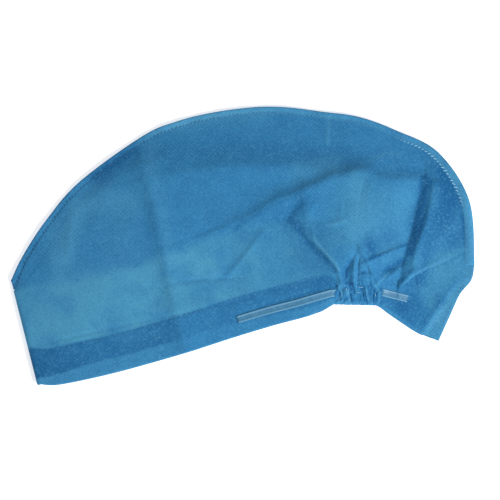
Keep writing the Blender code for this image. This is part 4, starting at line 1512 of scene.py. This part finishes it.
# %% Fit the pieces
FITTINGS = (
    (CAP, CLOTH_FINISH, "cap_sheet", "cloth_blue"),
    (BAND, LINING_FINISH, "sweatband", "band_pale_blue"),
    (SEAM, SEAM_FINISH, "crown_seam", "seam_blue"),
    (NEAR_TAPE, TAPE_FINISH, "near_elastic", "elastic_clear"),
    (FAR_TAPE, TAPE_FINISH, "far_elastic", "elastic_clear"),
    (CROWN_STITCHES, CROWN_THREAD_AND_GLINT, None, "seam_blue"),
    (BACK_STITCHES, BACK_THREAD, None, "seam_blue"),
    (HEM_STITCHES, HEM_THREAD, None, "cloth_blue"),
    (TAPE_STITCHES, TAPE_THREAD, None, "elastic_clear"),
)
for piece, finish, node, slot_name in FITTINGS:
    piece.data.materials.clear()
    piece.data.materials.append(finish)
    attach(piece, "root")
    if node:
        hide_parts(node)

# %% [markdown]
# ## Table, light and camera
#
# The table is white. A large soft light at the lower right of the picture shapes the folds, and
# a bright even sky fills the shadows. The camera looks straight down from far away, so that the
# cap keeps its proportions, and is turned so that the hem rises to the right.

# %% Table
bpy.ops.mesh.primitive_plane_add(size=6)
TABLE = bpy.context.object
TABLE.name = "table"
WHITE = (1.0, 1.0, 1.0, 1.0)
table_finish, table_chart, table_space = new_finish("white_table")
table_clouds = cloudy(table_space, 0.2, 2.0)
table_tone = blend_colours(paint(248, 248, 248), paint(252, 252, 252), table_clouds)
table_settings = {"Roughness": 0.9, "Emission Color": WHITE, "Emission Strength": 0.48}
TABLE.data.materials.append(complete(table_finish, table_tone, table_settings))

# %% Light
scene = bpy.context.scene
world = bpy.data.worlds.new("soft_sky")
scene.world = world
world.use_nodes = True
sky = world.node_tree.nodes["Background"].inputs
sky["Color"].default_value = WHITE
sky["Strength"].default_value = 0.47
scene.view_settings.view_transform = "Standard"


def soft_light(name, pixel_direction, elevation, distance, size, power):
    """Area light from a direction in the picture, aimed at the cap."""
    right, down = pixel_direction
    heading = math.atan2(-down, right) - HEM_TURN
    flat_distance = distance * math.cos(math.radians(elevation))
    place = Vector((
        flat_distance * math.cos(heading),
        flat_distance * math.sin(heading),
        distance * math.sin(math.radians(elevation)),
    ))
    bpy.ops.object.light_add(type="AREA", location=place)
    light = bpy.context.object
    light.name = name
    light.data.size = size
    light.data.energy = power
    light.rotation_euler = (-place).to_track_quat("-Z", "Y").to_euler()
    print(name, "stands at", [round(value, 2) for value in place])


soft_light("window", (0.8, 0.6), elevation=43, distance=1.6, size=0.55, power=24)

# %% Camera
PHOTO_WIDTH = 500
CAMERA_HEIGHT = 2.6
LOOK_LEVEL = 0.004
CENTRE_PIXEL = (249.4, 250.0)
camera_data = bpy.data.cameras.new("overhead")
camera = bpy.data.objects.new("overhead", camera_data)
scene.collection.objects.link(camera)
centre = seen(CENTRE_PIXEL) - MIDDLE
camera.location = (centre[0], centre[1], CAMERA_HEIGHT)
camera.rotation_euler = (0, 0, -HEM_TURN)
camera_data.sensor_fit = "HORIZONTAL"
camera_data.angle = 2 * math.atan(PHOTO_WIDTH * PIXEL / 2 / (CAMERA_HEIGHT - LOOK_LEVEL))
camera_data.clip_end = 20
scene.camera = camera
